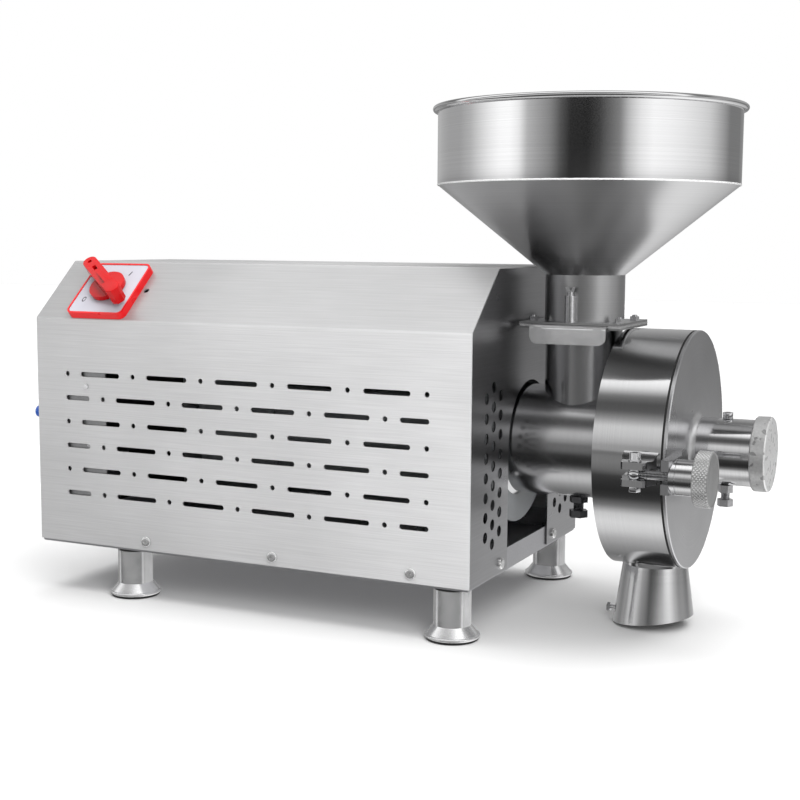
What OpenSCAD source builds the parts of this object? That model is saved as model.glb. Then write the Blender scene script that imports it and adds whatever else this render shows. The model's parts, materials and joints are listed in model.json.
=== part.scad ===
// Electric grain mill: a motor in a folded steel casing drives a feed screw and
// a pair of burrs in a round grinding drum with a swinging cover. Millimetres.
// X runs along the shaft towards the cover, Y to the back, Z up. The origin is
// on the surface that the feet stand on, below the middle of the whole object.

/* [Casing] */
// Length of the casing along the shaft
case_l = 493; // [470:1:520]
// Width of the casing
case_w = 309; // [300:1:330]
// Height of the upright side walls of the cover
wall_h = 235; // [226:1:246]
// Height of the cover from its lower edge to the flat top
cover_h = 293.1; // [288:0.1:304]
// Width of the flat top of the cover
top_w = 179; // [165:1:190]
// Sheet thickness of the cover and the end panels
sheet_t = 1.5; // [1:0.1:2]
// Outside radius of the folds of the cover
fold_r = 3; // [2.2:0.1:5]
// Sheet thickness of the base pan
pan_t = 2; // [1.5:0.1:3]
// Height of the upturned edges of the pan
pan_edge_h = 22; // [18:0.5:24]
// Height of the pan that shows below the cover
pan_show = 2.4; // [1:0.1:3.5]

/* [Vents] */
// Rows of slots in each side wall
vent_rows = 6; // [4:1:7]
// Full slots in a row
vent_slots = 5; // [3:1:5]
// Distance from the ends of the casing to the first and last dot of a full row
vent_in = 41.5; // [39:0.5:45]
// Distance between rows
vent_row_pitch = 25; // [22:0.5:25]
// Height of the lowest row above the lower edge of the cover
vent_low = 52.7; // [48:0.1:58]
// Length of a slot
slot_l = 48.8; // [44:0.1:52]
// Height of a slot
slot_h = 5; // [4:0.1:6]
// Diameter of a dot between slots
dot_d = 5.2; // [3.5:0.1:5.5]
// Diameter of a hole in the end panels
perf_d = 10.5; // [8:0.1:12]
// Distance between columns of holes
perf_col_pitch = 17.9; // [16:0.1:18]
// Distance between holes in a column
perf_pitch = 18.7; // [17:0.1:20]
// Holes in the outer columns
perf_count = 8; // [5:1:8]

/* [Feet] */
// Height of a foot with its pad
foot_h = 50; // [40:0.1:60]
// Radius of the post of a foot
foot_post_r = 17.8; // [15:0.1:20]
// Radius of the foot at its rim
foot_rim_r = 26.2; // [24:0.1:30]
// Thickness of the rubber pad under a foot
foot_pad_t = 2; // [2:0.1:5]
// Distance of the feet from the sides of the casing
foot_side_in = 18.25; // [18.25:0.25:29.5]
// Distance of the drive end feet from the drive end panel
foot_drive_in = 24; // [18.5:0.5:60]
// Distance of the other feet from the rear end panel
foot_rear_in = 108; // [40:0.5:120]

/* [Motor] */
// Height of the shaft above the underside of the pan
shaft_up = 124; // [118:0.5:126]
// Outer radius of the motor
motor_r = 85; // [82:0.5:90]
// Length of the motor shell between its end bells
shell_l = 210; // [180:1:225]
// Distance of the front bell behind the drive end panel
bell_gap = 10; // [6:0.5:12]
// Radius of the shaft in its bearings
shaft_r = 12.5; // [11:0.1:14]

/* [Feed barrel] */
// Outer radius of the barrel
barrel_r = 54.6; // [50:0.1:56]
// Wall of the barrel and the feed tube
barrel_wall = 3; // [2:0.1:4]
// Length of the barrel that shows between the casing and the drum
barrel_out = 100.4; // [96:0.1:115]
// Distance of the hopper axis from the drive end panel
hopper_x = 54.6; // [50:0.1:56]

/* [Grinding drum] */
// Outer radius of the drum and its cover
drum_r = 113.4; // [110:0.1:120]
// Depth of the drum
drum_l = 62.9; // [60:0.1:80]
// Wall of the drum
drum_wall = 3; // [2.5:0.1:4]
// Thickness of the sealing ring
gasket_t = 2; // [1.5:0.1:3]
// Thickness of the cover at its rim
cover_t = 3; // [2.5:0.1:5]
// Radius of the nose on the cover
nose_r = 31.4; // [29:0.1:32]
// Length of the nose
nose_l = 55.6; // [52:0.1:60]
// Radius of the adjusting cap
cap_r = 35.2; // [33:0.1:38]
// Thickness of the adjusting cap
cap_t = 14.5; // [12:0.1:18]
// Outer radius of the burrs
burr_r = 66; // [60:0.5:70]
// Teeth round each burr
burr_teeth = 24; // [12:2:36]
// Gap between the burrs at their finest setting
burr_gap = 0.5; // [0.3:0.1:1]
// Travel of the fixed burr from fine to coarse
adjust_travel = 4; // [2:0.5:5]

/* [Clamp] */
// Radius of the knurled head of the clamp knob
knob_r = 24.5; // [20:0.1:26]
// Thickness of the knurled head
knob_t = 13.7; // [10:0.1:16]
// Radius of the collar of the clamp knob
collar_r = 15.8; // [13:0.1:17]
// Length of the collar
collar_l = 16.6; // [14:0.1:22]
// Radius of the swinging bolt
eye_rod_r = 4; // [3.5:0.1:4.5]
// Distance of the swinging bolt from the drum wall
clamp_out = 18.6; // [17:0.1:24]
// Height of the clamp below the shaft
clamp_drop = 5.3; // [0:0.1:12]

/* [Hopper] */
// Radius of the upright band of the hopper
band_r = 144.9; // [130:0.1:155]
// Height of the upright band with its rolled rim
band_h = 74.5; // [60:0.1:90]
// Height of the cone
cone_h = 85.6; // [80:0.1:110]
// Height of the neck above its flange
neck_h = 44.6; // [42:0.1:60]
// Outer radius of the neck
neck_r = 38.6; // [36:0.1:39.5]
// Radius of the rolled rim
bead_r = 2.8; // [2:0.1:3.5]
// Sheet thickness of the hopper
hopper_t = 1.2; // [1:0.1:2]
// Side of the square flange below the hopper
flange_w = 99; // [96:0.5:104]
// Height of the flange top above the drum
flange_up = 6; // [6:0.1:14]

/* [Spout] */
// Outer radius of the spout at the drum
spout_top_r = 31; // [27:0.1:34]
// Outer radius of the spout at its mouth
spout_mouth_r = 39.6; // [36:0.1:42]
// Clearance between the lowest point of the mouth and the surface
spout_clear = 1.2; // [1:0.1:6]
// Rise of the slanted mouth from one side to the other
spout_rise = 11; // [0:0.5:16]

/* [Switch] */
// Width of the switch plate
plate_w = 70; // [66:0.5:76]
// Length of the switch plate up the slope
plate_l = 74.5; // [66:0.5:75]
// Thickness of the switch plate
plate_t = 8; // [6:0.1:10]
// Distance of the plate centre from the rear end panel
switch_in = 75.9; // [60:0.5:120]
// Radius of the base of the handle
dial_r = 19.3; // [17:0.1:24]

/* [Hidden] */
$fn = 64;

// Clearances and the overrun of every cut
seat = 0.3;        // between flat or curved faces of different bodies
fit = 0.2;         // between sheets that lie in each other
run_fit = 0.05;    // radial, between a shaft and its hole
over = 1;          // overrun of a cut

// Fasteners: thread radius, half width across flats, head and nut height
m3_r = 1.5; m3_head_r = 2.8; m3_head_h = 1.2;
m5_r = 2.5; m5_flat = 4; m5_head_r = 5.75; m5_head_h = 3.2; m5_nut_h = 4;
m6_r = 3; m6_flat = 5; m6_head_h = 5; m6_nut_h = 5.2;
m8_r = 4; m8_flat = 6.5; m8_head_h = 8; m8_nut_h = 7.2;
m10_r = 5; m10_flat = 8.2; m10_head_h = 7; m10_nut_h = 6;
hole_slack = 0.25; // radial, round a bolt in its hole

// Heights
pan_z = foot_h;
shaft_z = pan_z + shaft_up;
cover_z = pan_z + pan_show;
fold_z = cover_z + wall_h;
top_z = cover_z + cover_h;
slope_a = atan2((case_w - top_w) / 2, cover_h - wall_h);
flange_z = shaft_z + drum_r + flange_up;
neck_z = flange_z + neck_h;
band_z = neck_z + cone_h;
rim_z = band_z + band_h;

// Stations along the shaft, from the outer face of the drive end panel
barrel_x0 = -bell_gap;
drum_x0 = barrel_out;
drum_x1 = drum_x0 + drum_l;
gasket_x1 = drum_x1 + gasket_t;
cover_x1 = gasket_x1 + cover_t;
nose_x1 = cover_x1 + nose_l;
cap_x1 = nose_x1 + cap_t;

// Cable gland on the rear end panel
gland_r = 6;
gland_flat = 8;
gland_collar = 3;
gland_hex_l = 6;
gland_dome_l = 12;
gland_bore_r = 3.2;
gland_nut_l = 6;
gland_thread_l = 9;
gland_from_front = 25;
gland_up = 132;
gland_out = gland_collar + gland_hex_l + gland_dome_l;
frame_shift = (case_l + gland_out - cap_x1) / 2;

// Panels
panel_edge = 12;
cutout_gap = 3.9;
cutout_r = barrel_r + cutout_gap;
perf_col_in = 37.8;
perf_low = 41.4;
panel_screw_up = 11.2;
panel_screw_out = 18.3;
panel_screw_y = cutout_r + panel_screw_out;
side_screw_up = 11.7;
side_screw_in = 58.9;
side_screw_pitch = 149.2;
half_slot_l = 30;
vent_shift = 2.3;
vent_pitch = (case_l - 2 * vent_in) / vent_slots;
short_row_share = 0.985;
short_row_shift = 0.9;
plate_hole_r = 3;
plate_hole_out = 40.6;
plate_hole_up = 5.4;
rear_perf_rows = 5;

// Feet
foot_rim_t = 3.5;
foot_flare_h = 8.4;
foot_washer_t = 1.8;
stud_up = 14;

// Motor
bell_wall = 6;
bell_flange_t = 12;
bell_l = 30;
shell_wall = 7;
fin_count = 28;
fin_t = 2.4;
fin_h = 6;
bearing_r = 26;
bearing_w = 15;
bearing_lip = 6;
bell_hole_slack = 2.5;
seat_wall = 8;
core_in = 38;
core_wall = 26.95;
air_gap = 0.5;
winding_l = 24;
winding_in = 3;
cowl_t = 1.5;
cowl_l = 66;
fan_w = 22;
fan_blades = 8;
fan_blade_t = 2.5;
fan_clear = 5;
shaft_step = 3;
cradle_t = 8;
cradle_w = 120;
cradle_foot = 26;
cradle_in = 30;
saddle_share = 0.9;
fan_r = 70;
grille_shares = [0.35, 0.55, 0.75];
grille_holes = 24;
grille_hole_r = 2.6;
grille_turn = 5;
tie_thread_l = 12;
bell_x1 = barrel_x0 - bell_l;
shell_x0 = bell_x1 - shell_l;
rear_x0 = shell_x0 - bell_l;
cowl_x0 = rear_x0 - cowl_l + bell_wall;
fan_x0 = cowl_x0 + cowl_t + fan_clear;
fan_x1 = fan_x0 + fan_w;
core_r = motor_r - fin_h - shell_wall - run_fit;
core_bore_r = core_r - core_wall;
core_x0 = shell_x0 + core_in;
core_x1 = bell_x1 - core_in;

// Burrs and their carriers
burr_t = 12;
tooth_h = 4;
gasket_in = 1;
cap_bevel = 1.2;
guide_tip_l = 5;
m5_cap_h = 6;
m5_cap_r = 4.7;
m6_cap_r = 4.7;
lock_nut_flat = 6;
lock_head_h = 6.5;
lock_space = 6.5;
tooth_w_share = 0.42;
tooth_skew = 6;
burr_land_r = 46;
burr_window_r = 8.5;
burr_window_at = 34.5;
burr_windows = 6;
fixed_eye_r = 40;
shaft_end_r = 9;
shaft_show = 2.5;
burr_nut_h = 10;
burr_nut_flat = 13;
quill_r = 22;
quill_plate_t = 5.5;
quill_plate_r = 58;
quill_eye_r = 16;
quill_l = 45;
quill_bore_l = 28;
quill_slot_h = 8;
screw_r = 9;
screw_l = 23;
screw_flange_t = 5;
screw_flange_r = 19;
nose_end_t = 6;
register_h = 4;
register_gap = 1;
register_t = 4;
nose_fillet = 6;
cover_bevel = 0.8;
nut_gap = 0.3;
nut_space = 8;
guide_in = 29;

// Stations of the burrs: the quill plate clears the cover at its coarse setting
quill_x1 = gasket_x1 - adjust_travel - 2 * seat;
quill_x0 = quill_x1 - quill_plate_t;
fixed_x0 = quill_x0 - burr_t;
burr_x1 = fixed_x0 - burr_gap;
burr_x0 = burr_x1 - burr_t;
nut_x0 = burr_x1 - tooth_h;
nut_x1 = nut_x0 + burr_nut_h;
shaft_x1 = nut_x1 + shaft_show;
quill_end = quill_x1 + quill_l;
nose_end = nose_x1 - nose_end_t;
guide_x = cover_x1 + guide_in;

// Feed barrel and screw
weld_h = 3.4;
barrel_plate_t = 6;
burr_clear = 0.75;
inlet_flange_t = 2;
inlet_front_in = 2;
tube_in = 1.3;
tube_r = neck_r - tube_in;
auger_gap = 2;
auger_turns = 3;
auger_t = 3.4;
auger_sink = 1;
auger_hub_r = 19;
auger_steps = 24;
auger_clear = 4;
lock_out = 52.9;
seal_t = 8;
seal_r = 24;
barrel_x1 = burr_x0 - burr_clear;

// Hinge of the cover, on the side away from the clamp
hinge_out = 15;
hinge_pin_r = 4;
knuckle_r = 9;
knuckle_h = 15;
hinge_gap = 0.5;
hinge_x = gasket_x1 - gasket_t / 2;
hinge_y = drum_r + hinge_out;
hinge_sink = 9;
hinge_drop = 16;
hinge_pin_l = 52;
hinge_head_t = 2.5;
hinge_head_r = 6.5;
strap_l = 12;
strap_t = 8;

// Clamp
clamp_y = -drum_r - clamp_out;
clamp_z = shaft_z - clamp_drop;
fork_t = 13.7;
prong_t = 9.7;
fork_root_r = 20.5;
fork_root_in = 6;
fork_h = 30.3;
fork_drop = -1;
fork_tip = 14.3;
fork_gap = 1.7;
fork_x1 = cover_x1 + fork_t;
washer_t = 1.6;
skirt_l = 4;
eye_r = 6.4;
eye_t = 8.4;
eye_gap = 0.35;
ear_low_t = 6;
ear_front_t = 6.5;
ear_high_t = 12.5;
ear_flat_l = 7;
ear_bevel = 8;
ear_half_w = 11;
ear_out = 8;
ear_cut = 2;
clamp_screw_h = 6.5;
clamp_disc_t = 1.5;
clamp_disc_r = 6;
ear_left = 15;
ear_right = 16;
ear_sink = 1.5;
pin_r = 3;
eye_reach = 36.7;
knob_bevel = 1.5;
rod_end_t = 5;
clamp_x = fork_x1 + seat - eye_reach;
washer_x0 = fork_x1 + seat;
collar_x0 = washer_x0 + washer_t;
knob_x0 = collar_x0 + collar_l;
knob_x1 = knob_x0 + knob_t;
fork_face_r = eye_reach - seat;

// Hopper, flange and gate
flange_t = 2;
bolt_x = 43;
bolt_y = 26;
gate_t = 1.5;
gate_w = 75.2;
bolt_show = 1.5;
gate_slack = 0.3;
gate_z1 = flange_z - flange_t - gate_slack;
gate_z0 = gate_z1 - gate_t;
guide_z0 = gate_z0 - gate_slack;
inlet_z0 = guide_z0 - inlet_flange_t;
lip_h = 18.2;
lip_bend_r = 4;
lip_gap = 2;
lip_r = 8;
gate_tail = 44;
sleeve_r = 5.2;
sleeve_h = 25.5;
sleeve_gap = 0.3;
sleeve_y = neck_r + sleeve_gap + sleeve_r;
wing_gap = 1;
wing_l = 4.9;
wing_t = 3;
wing_h = 7;
wing_foot = 2.6;
wing_tip = 2;

// Spout
spout_t = 1.5;
spout_bolt_up = 10.5;
spout_bolt_l = 6;
spout_bolt_gap = 5.5;
spout_in = 8;
spout_x = drum_x0 + drum_l / 2;

// Switch
face_t = 2;
face_rim = 2;
plate_corner_r = 7;
switch_up_slope = 38.4;
switch_depth = 52;
switch_box_w = 48;
switch_neck_r = 14;
dial_t = 5;
grip_h = 12;
grip_w = 15;
tail_l = 42;
tail_r = 7.5;
pointer_l = 42;
pointer_w = 15;
pointer_h = 18;
pointer_in = 22;
padlock_hole_r = 2.2;
handle_turn = -38;
switch_screw_in = 8;
spindle_r = 4;
face_drop = 0.5;
switch_screw_z = plate_t - face_t - face_drop - m3_head_h - seat;
grip_web_t = 5;

// Capacitors on their bracket, behind the front wall
can_r = 16;
can_l = 84;
can_lid_l = 6;
can_lid_r = 8;
can_pitch = 34;
bracket_t = 2;
bracket_w = 69;
bracket_h = 186;
bracket_foot = 38;
bracket_in = 49.5;
bracket_hole_out = 13.5;
bracket_x = -case_l + bracket_in;
bracket_y = -case_w / 2 + sheet_t + pan_t + 2 * fit;
bracket_screw_up = 165.4;
clip_screw_up = 104.5;
clip_h = 17;
can_z0 = pan_z + pan_t + bracket_t;
clip_z = can_z0 + can_l + can_lid_l + seat;

// Placing and drawing helpers

module in_frame() {
    translate([frame_shift, 0, 0]) children();
}

// A flat shape in Y and Z, made solid from station x0 to x1
module along_x(x0, x1) {
    translate([x0, 0, 0]) rotate([90, 0, 90]) linear_extrude(x1 - x0) children();
}

// A flat shape in X and Z, made solid from y0 to y1
module along_y(y0, y1) {
    translate([0, y1, 0]) rotate([90, 0, 0]) linear_extrude(y1 - y0) children();
}

// A flat shape in X and Y, made solid from z0 to z1
module along_z(z0, z1) {
    translate([0, 0, z0]) linear_extrude(z1 - z0) children();
}

// A profile of points [radius, station], turned about the shaft axis
module turned(points) {
    translate([0, 0, shaft_z]) rotate([0, 90, 0]) rotate_extrude() polygon(points);
}

module ring_x(x0, x1, outer_r, inner_r) {
    turned([[inner_r, x0], [outer_r, x0], [outer_r, x1], [inner_r, x1]]);
}

module rod_x(x0, x1, r) {
    translate([x0, 0, 0]) rotate([0, 90, 0]) cylinder(h = x1 - x0, r = r);
}

module hex_x(x0, x1, flat) {
    translate([x0, 0, 0]) rotate([0, 90, 0]) cylinder(h = x1 - x0, r = flat / cos(30), $fn = 6);
}

module rod_z(z0, z1, r) {
    translate([0, 0, z0]) cylinder(h = z1 - z0, r = r);
}

module hex_z(z0, z1, flat) {
    translate([0, 0, z0]) cylinder(h = z1 - z0, r = flat / cos(30), $fn = 6);
}

module rod_y(y0, y1, r) {
    translate([0, y0, 0]) rotate([-90, 0, 0]) cylinder(h = y1 - y0, r = r);
}

function unit(v) = v / norm(v);

// Where a fillet of radius r meets the two sides of corner p, and its centre
function fillet_at(p, before, after, r) =
    let (u = unit(before - p), w = unit(after - p), half = acos(u * w) / 2)
    [p + u * r / tan(half), p + w * r / tan(half), p + unit(u + w) * r / sin(half)];

// A convex outline whose corners have the radii given
module rounded_outline(points, radii) {
    last = len(points) - 1;
    corners = [for (i = [0 : last])
        fillet_at(points[i], points[i == 0 ? last : i - 1],
                  points[i == last ? 0 : i + 1], radii[i])];
    polygon([for (i = [0 : last]) each radii[i] > 0 ? [corners[i][0], corners[i][1]] : [points[i]]]);
    for (i = [0 : last]) {
        if (radii[i] > 0) translate(corners[i][2]) circle(radii[i]);
    }
}

module rounded_plate(w, l, r) {
    rounded_outline([[-w / 2, -l / 2], [w / 2, -l / 2], [w / 2, l / 2], [-w / 2, l / 2]],
                    [r, r, r, r]);
}

module slot_shape(l, h) {
    square([l - h, h], center = true);
    for (side = [-1, 1]) translate([side * (l - h) / 2, 0]) circle(h / 2);
}

// The end outline of the cover, moved inwards by inset, down to the height low
module case_outline(inset, low, r) {
    wall_y = case_w / 2 - inset;
    fold_in_z = fold_z - inset * tan(slope_a / 2);
    top_y = top_w / 2 - inset * tan((90 - slope_a) / 2);
    rounded_outline(
        [[-wall_y, low], [wall_y, low], [wall_y, fold_in_z], [top_y, top_z - inset],
         [-top_y, top_z - inset], [-wall_y, fold_in_z]],
        [0, 0, r, r, r, r]);
}

// Local frame on the front slope: X along the casing, Y up the slope, Z outwards
module on_slope(up, x) {
    translate([x, -case_w / 2 + up * sin(slope_a), fold_z + up * cos(slope_a)])
        rotate([90 - slope_a, 0, 0]) children();
}

module on_switch() {
    on_slope(switch_up_slope, -case_l + switch_in) children();
}

// Casing

// Slots and dots of one side wall, in X and Z. Every second row ends in half slots.
module vent_pattern() {
    for (row = [0 : vent_rows - 1]) {
        full = row % 2 == 1;
        slots = full ? vent_slots : vent_slots - 1;
        pitch = full ? vent_pitch : vent_pitch * short_row_share;
        shift = full ? 0 : short_row_shift;
        translate([-case_l / 2 - vent_shift, cover_z + vent_low + row * vent_row_pitch]) {
            for (i = [0 : slots - 1])
                translate([shift + (i - (slots - 1) / 2) * pitch, 0]) slot_shape(slot_l, slot_h);
            for (i = [0 : slots])
                translate([shift + (i - slots / 2) * pitch, 0]) circle(dot_d / 2);
            if (!full) {
                for (side = [-1, 1])
                    translate([side * (vent_slots * vent_pitch + dot_d - half_slot_l) / 2, 0])
                        slot_shape(half_slot_l, slot_h);
            }
        }
    }
}

module side_screw_places() {
    for (i = [0 : 2]) translate([-side_screw_in - i * side_screw_pitch, 0, pan_z + side_screw_up])
        children();
}

module casing_cover() {
    color("gainsboro") in_frame() difference() {
        along_x(-case_l, 0) case_outline(0, cover_z, fold_r);
        along_x(-case_l - over, over) case_outline(sheet_t, cover_z - over, fold_r - sheet_t);
        along_y(-case_w / 2 - over, case_w / 2 + over) vent_pattern();
        side_screw_places() rod_y(-case_w / 2 - over, case_w / 2 + over, m5_r + hole_slack);
        translate([bracket_x + bracket_hole_out, 0, cover_z + bracket_screw_up])
            rod_y(-case_w / 2 - over, -case_w / 2 + sheet_t + over, m3_r + hole_slack);
        on_switch() {
            rod_z(-switch_depth, over, switch_neck_r + seat);
            translate([plate_hole_out, plate_hole_up, 0])
                rod_z(-sheet_t - over, over, plate_hole_r);
            switch_screw_places() rod_z(-sheet_t - over, over, m3_r + hole_slack);
        }
    }
}

module panel_sheet(x0, edge_to) {
    along_x(x0, x0 + sheet_t) case_outline(sheet_t + fit, cover_z, fold_r - sheet_t);
    difference() {
        along_x(min(x0, edge_to), max(x0, edge_to))
            case_outline(sheet_t + fit, fold_z - wall_h / 2, fold_r - sheet_t);
        along_x(min(x0, edge_to) - over, max(x0, edge_to) + over)
            case_outline(2 * sheet_t + fit, cover_z, 0);
    }
}

module panel_screw_places(x) {
    for (side = [-1, 1]) translate([x, side * panel_screw_y, pan_z + panel_screw_up]) children();
}

module leg_holes() {
    for (side = [-1, 1], column = [0 : 2], i = [0 : perf_count - 1 + column % 2])
        translate([side * (case_w / 2 - perf_col_in - column * perf_col_pitch),
                   cover_z + perf_low + (i - column % 2 / 2) * perf_pitch])
            circle(perf_d / 2);
}

module drive_end_panel() {
    color("silver") in_frame() difference() {
        panel_sheet(-sheet_t, -sheet_t - panel_edge);
        along_x(-sheet_t - over, over) {
            leg_holes();
            translate([0, shaft_z]) circle(cutout_r);
            translate([-cutout_r, cover_z - over]) square([2 * cutout_r, shaft_z - cover_z + over]);
        }
        panel_screw_places(0) rod_x(-sheet_t - over, over, m5_r + hole_slack);
    }
}

module rear_end_panel() {
    color("silver") in_frame() difference() {
        panel_sheet(-case_l, -case_l + panel_edge);
        along_x(-case_l - over, -case_l + sheet_t + over) {
            for (row = [0 : rear_perf_rows - 1], i = [0 : perf_count - 1 - row % 2])
                translate([(i - (perf_count - 1 - row % 2) / 2) * perf_pitch,
                           shaft_z + (row - (rear_perf_rows - 1) / 2) * perf_col_pitch])
                    circle(perf_d / 2);
            translate([-case_w / 2 + gland_from_front, cover_z + gland_up]) circle(gland_r + seat);
        }
        panel_screw_places(0) rod_x(-case_l - over, -case_l + sheet_t + over, m5_r + hole_slack);
    }
}

foot_places = [
    for (x = [-foot_drive_in, -case_l + foot_rear_in], side = [-1, 1]) 
        [x, side * (case_w / 2 - foot_side_in)]];

module base_pan() {
    gap = sheet_t + fit;
    edge_z = pan_z + pan_edge_h;
    color("lightgray") in_frame() difference() {
        translate([-case_l + gap, -case_w / 2 + gap, pan_z])
            cube([case_l - 2 * gap, case_w - 2 * gap, pan_edge_h]);
        translate([-case_l + gap + pan_t, -case_w / 2 + gap + pan_t, pan_z + pan_t])
            cube([case_l - 2 * (gap + pan_t), case_w - 2 * (gap + pan_t), pan_edge_h]);
        side_screw_places() rod_y(-case_w / 2, case_w / 2, m5_r + hole_slack);
        panel_screw_places(0) rod_x(-case_l, 0, m5_r + hole_slack);
        for (p = foot_places) translate(p) rod_z(pan_z - over, edge_z, m10_r + hole_slack);
    }
}

// Pan-head screw along X, its head starting at the station x and pointing to side
module pan_screw(side) {
    rotate([0, 90 * side, 0]) {
        intersection() {
            rod_z(0, m5_head_h, m5_head_r);
            translate([0, 0, m5_head_h - 2 * m5_head_r]) sphere(2 * m5_head_r);
        }
        rod_z(-sheet_t - fit - pan_t - over, 0, m5_r);
    }
}

module cover_screws() {
    color("whitesmoke") in_frame() {
        for (side = [-1, 1]) side_screw_places()
            translate([0, side * case_w / 2, 0]) rotate([0, 0, 90]) pan_screw(side);
        panel_screw_places(0) pan_screw(1);
        panel_screw_places(-case_l) pan_screw(-1);
    }
}

// Feet

module foot(place) {
    rim_z = foot_pad_t + foot_rim_t;
    color("silver") in_frame() translate(place) difference() {
        rotate_extrude() {
            polygon([[0, foot_pad_t], [foot_rim_r - foot_rim_t / 2, foot_pad_t],
                     [foot_rim_r - foot_rim_t / 2, rim_z], [foot_post_r, rim_z + foot_flare_h],
                     [foot_post_r, foot_h - foot_washer_t], [0, foot_h - foot_washer_t]]);
            translate([foot_rim_r - foot_rim_t / 2, foot_pad_t + foot_rim_t / 2])
                circle(foot_rim_t / 2);
        }
        rod_z(foot_pad_t - over, foot_h, m10_r + hole_slack);
    }
}

module foot_front_drive() { foot(foot_places[0]); }
module foot_back_drive() { foot(foot_places[1]); }
module foot_front_rear() { foot(foot_places[2]); }
module foot_back_rear() { foot(foot_places[3]); }

// The pad under each foot and the dark washer on top of its post
module foot_pads() {
    color("black") in_frame() for (p = foot_places) translate(p) {
        rod_z(0, foot_pad_t, foot_rim_r - foot_rim_t / 2);
        difference() {
            rod_z(foot_h - foot_washer_t, foot_h, foot_post_r - foot_washer_t);
            rod_z(foot_h - foot_washer_t - over, foot_h + over, m10_r + hole_slack);
        }
    }
}

module foot_studs() {
    color("gray") in_frame() for (p = foot_places) translate(p) {
        rod_z(foot_pad_t, foot_h + stud_up, m10_r);
        hex_z(foot_h + pan_t, foot_h + pan_t + m10_nut_h, m10_flat);
    }
}

// Cable gland: hexagon, domed nut with the bore for a lead, and the nut inside
module cable_gland() {
    x0 = -case_l;
    color("royalblue") in_frame()
        translate([0, -case_w / 2 + gland_from_front, cover_z + gland_up]) difference() {
            union() {
                rod_x(x0 - gland_collar, x0 + sheet_t + gland_thread_l, gland_r);
                hex_x(x0 - gland_collar - gland_hex_l, x0 - gland_collar, gland_flat);
                rod_x(x0 - gland_collar, x0, gland_flat);
                translate([x0 - gland_out, 0, 0]) rotate([0, 90, 0])
                    cylinder(h = gland_dome_l, r1 = gland_r, r2 = gland_flat);
                hex_x(x0 + sheet_t, x0 + sheet_t + gland_nut_l, gland_flat);
            }
            rod_x(x0 - gland_out - over, x0 + sheet_t + gland_thread_l + over, gland_bore_r);
        }
}

// Capacitors

// Upright plate behind the front wall with a foot on the pan, and the clip that
// holds the cans down
module capacitor_bracket() {
    foot_z = pan_z + pan_t;
    color("silver") in_frame() translate([bracket_x, bracket_y, 0]) difference() {
        union() {
            translate([-bracket_w / 2, 0, foot_z]) cube([bracket_w, bracket_foot, bracket_t]);
            translate([-bracket_w / 2, 0, foot_z]) cube([bracket_w, bracket_t, bracket_h]);
            translate([-bracket_w / 2, bracket_t, clip_z])
                cube([bracket_w, bracket_foot - bracket_t, bracket_t]);
            translate([-bracket_w / 2, bracket_t, clip_z])
                cube([bracket_w, bracket_t, clip_h]);
        }
        for (up = [clip_screw_up, bracket_screw_up])
            translate([bracket_hole_out, 0, cover_z + up])
                rod_y(-over, 2 * bracket_t + over, m3_r + hole_slack);
    }
}

// One small screw through the cover into the bracket, one that holds the clip
module bracket_screws() {
    color("silver") in_frame() translate([bracket_x + bracket_hole_out, 0, cover_z]) {
        translate([0, 0, bracket_screw_up]) {
            rod_y(-case_w / 2 - m3_head_h, -case_w / 2, m3_head_r);
            rod_y(-case_w / 2, bracket_y + bracket_t + over, m3_r);
        }
        translate([0, 0, clip_screw_up]) {
            rod_y(bracket_y - m3_head_h, bracket_y, m3_head_r);
            rod_y(bracket_y, bracket_y + 2 * bracket_t + over, m3_r);
        }
    }
}

module capacitors() {
    color("ghostwhite") in_frame() for (side = [-1 / 2, 1 / 2])
        translate([bracket_x + side * can_pitch, bracket_y + 2 * bracket_t + can_r + fit, 0]) {
            rod_z(can_z0, can_z0 + can_l, can_r);
            rod_z(can_z0 + can_l, can_z0 + can_l + can_lid_l, can_lid_r);
        }
}

// Switch on the front slope

module switch_body() {
    color("dimgray") in_frame() on_switch() {
        translate([-switch_box_w / 2, -switch_box_w / 2, -switch_depth])
            cube([switch_box_w, switch_box_w, switch_depth - sheet_t]);
        rod_z(-sheet_t - over, plate_t - face_t - face_drop, switch_neck_r);
        rod_z(0, plate_t + seat + dial_t, spindle_r);
    }
}

module switch_bezel() {
    color("red") in_frame() on_switch() difference() {
        linear_extrude(plate_t) rounded_plate(plate_w, plate_l, plate_corner_r);
        along_z(plate_t - face_t - face_drop, plate_t + over)
            rounded_plate(plate_w - 2 * face_rim, plate_l - 2 * face_rim, plate_corner_r - face_rim);
        rod_z(-over, plate_t, switch_neck_r + fit);
        switch_screw_places() {
            rod_z(-over, plate_t, m3_r + hole_slack);
            rod_z(switch_screw_z, plate_t, m3_head_r + hole_slack);
        }
    }
}

module switch_screw_places() {
    for (x = [-1, 1], y = [-1, 1])
        translate([x * (plate_w / 2 - switch_screw_in), y * (plate_l / 2 - switch_screw_in), 0])
            children();
}

module switch_face() {
    color("silver") in_frame() on_switch() difference() {
        along_z(plate_t - face_t - face_drop, plate_t - face_drop)
            rounded_plate(plate_w - 2 * face_rim - 2 * fit, plate_l - 2 * face_rim - 2 * fit,
                          plate_corner_r - face_rim);
        rod_z(0, plate_t, spindle_r + run_fit + fit);
    }
}

// Screws of the switch plate, with their heads sunk below its face
module switch_screws() {
    color("lightgray") in_frame() on_switch() switch_screw_places() {
        rod_z(-sheet_t - over, switch_screw_z, m3_r);
        rod_z(switch_screw_z, switch_screw_z + m3_head_h, m3_head_r);
    }
}

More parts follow.
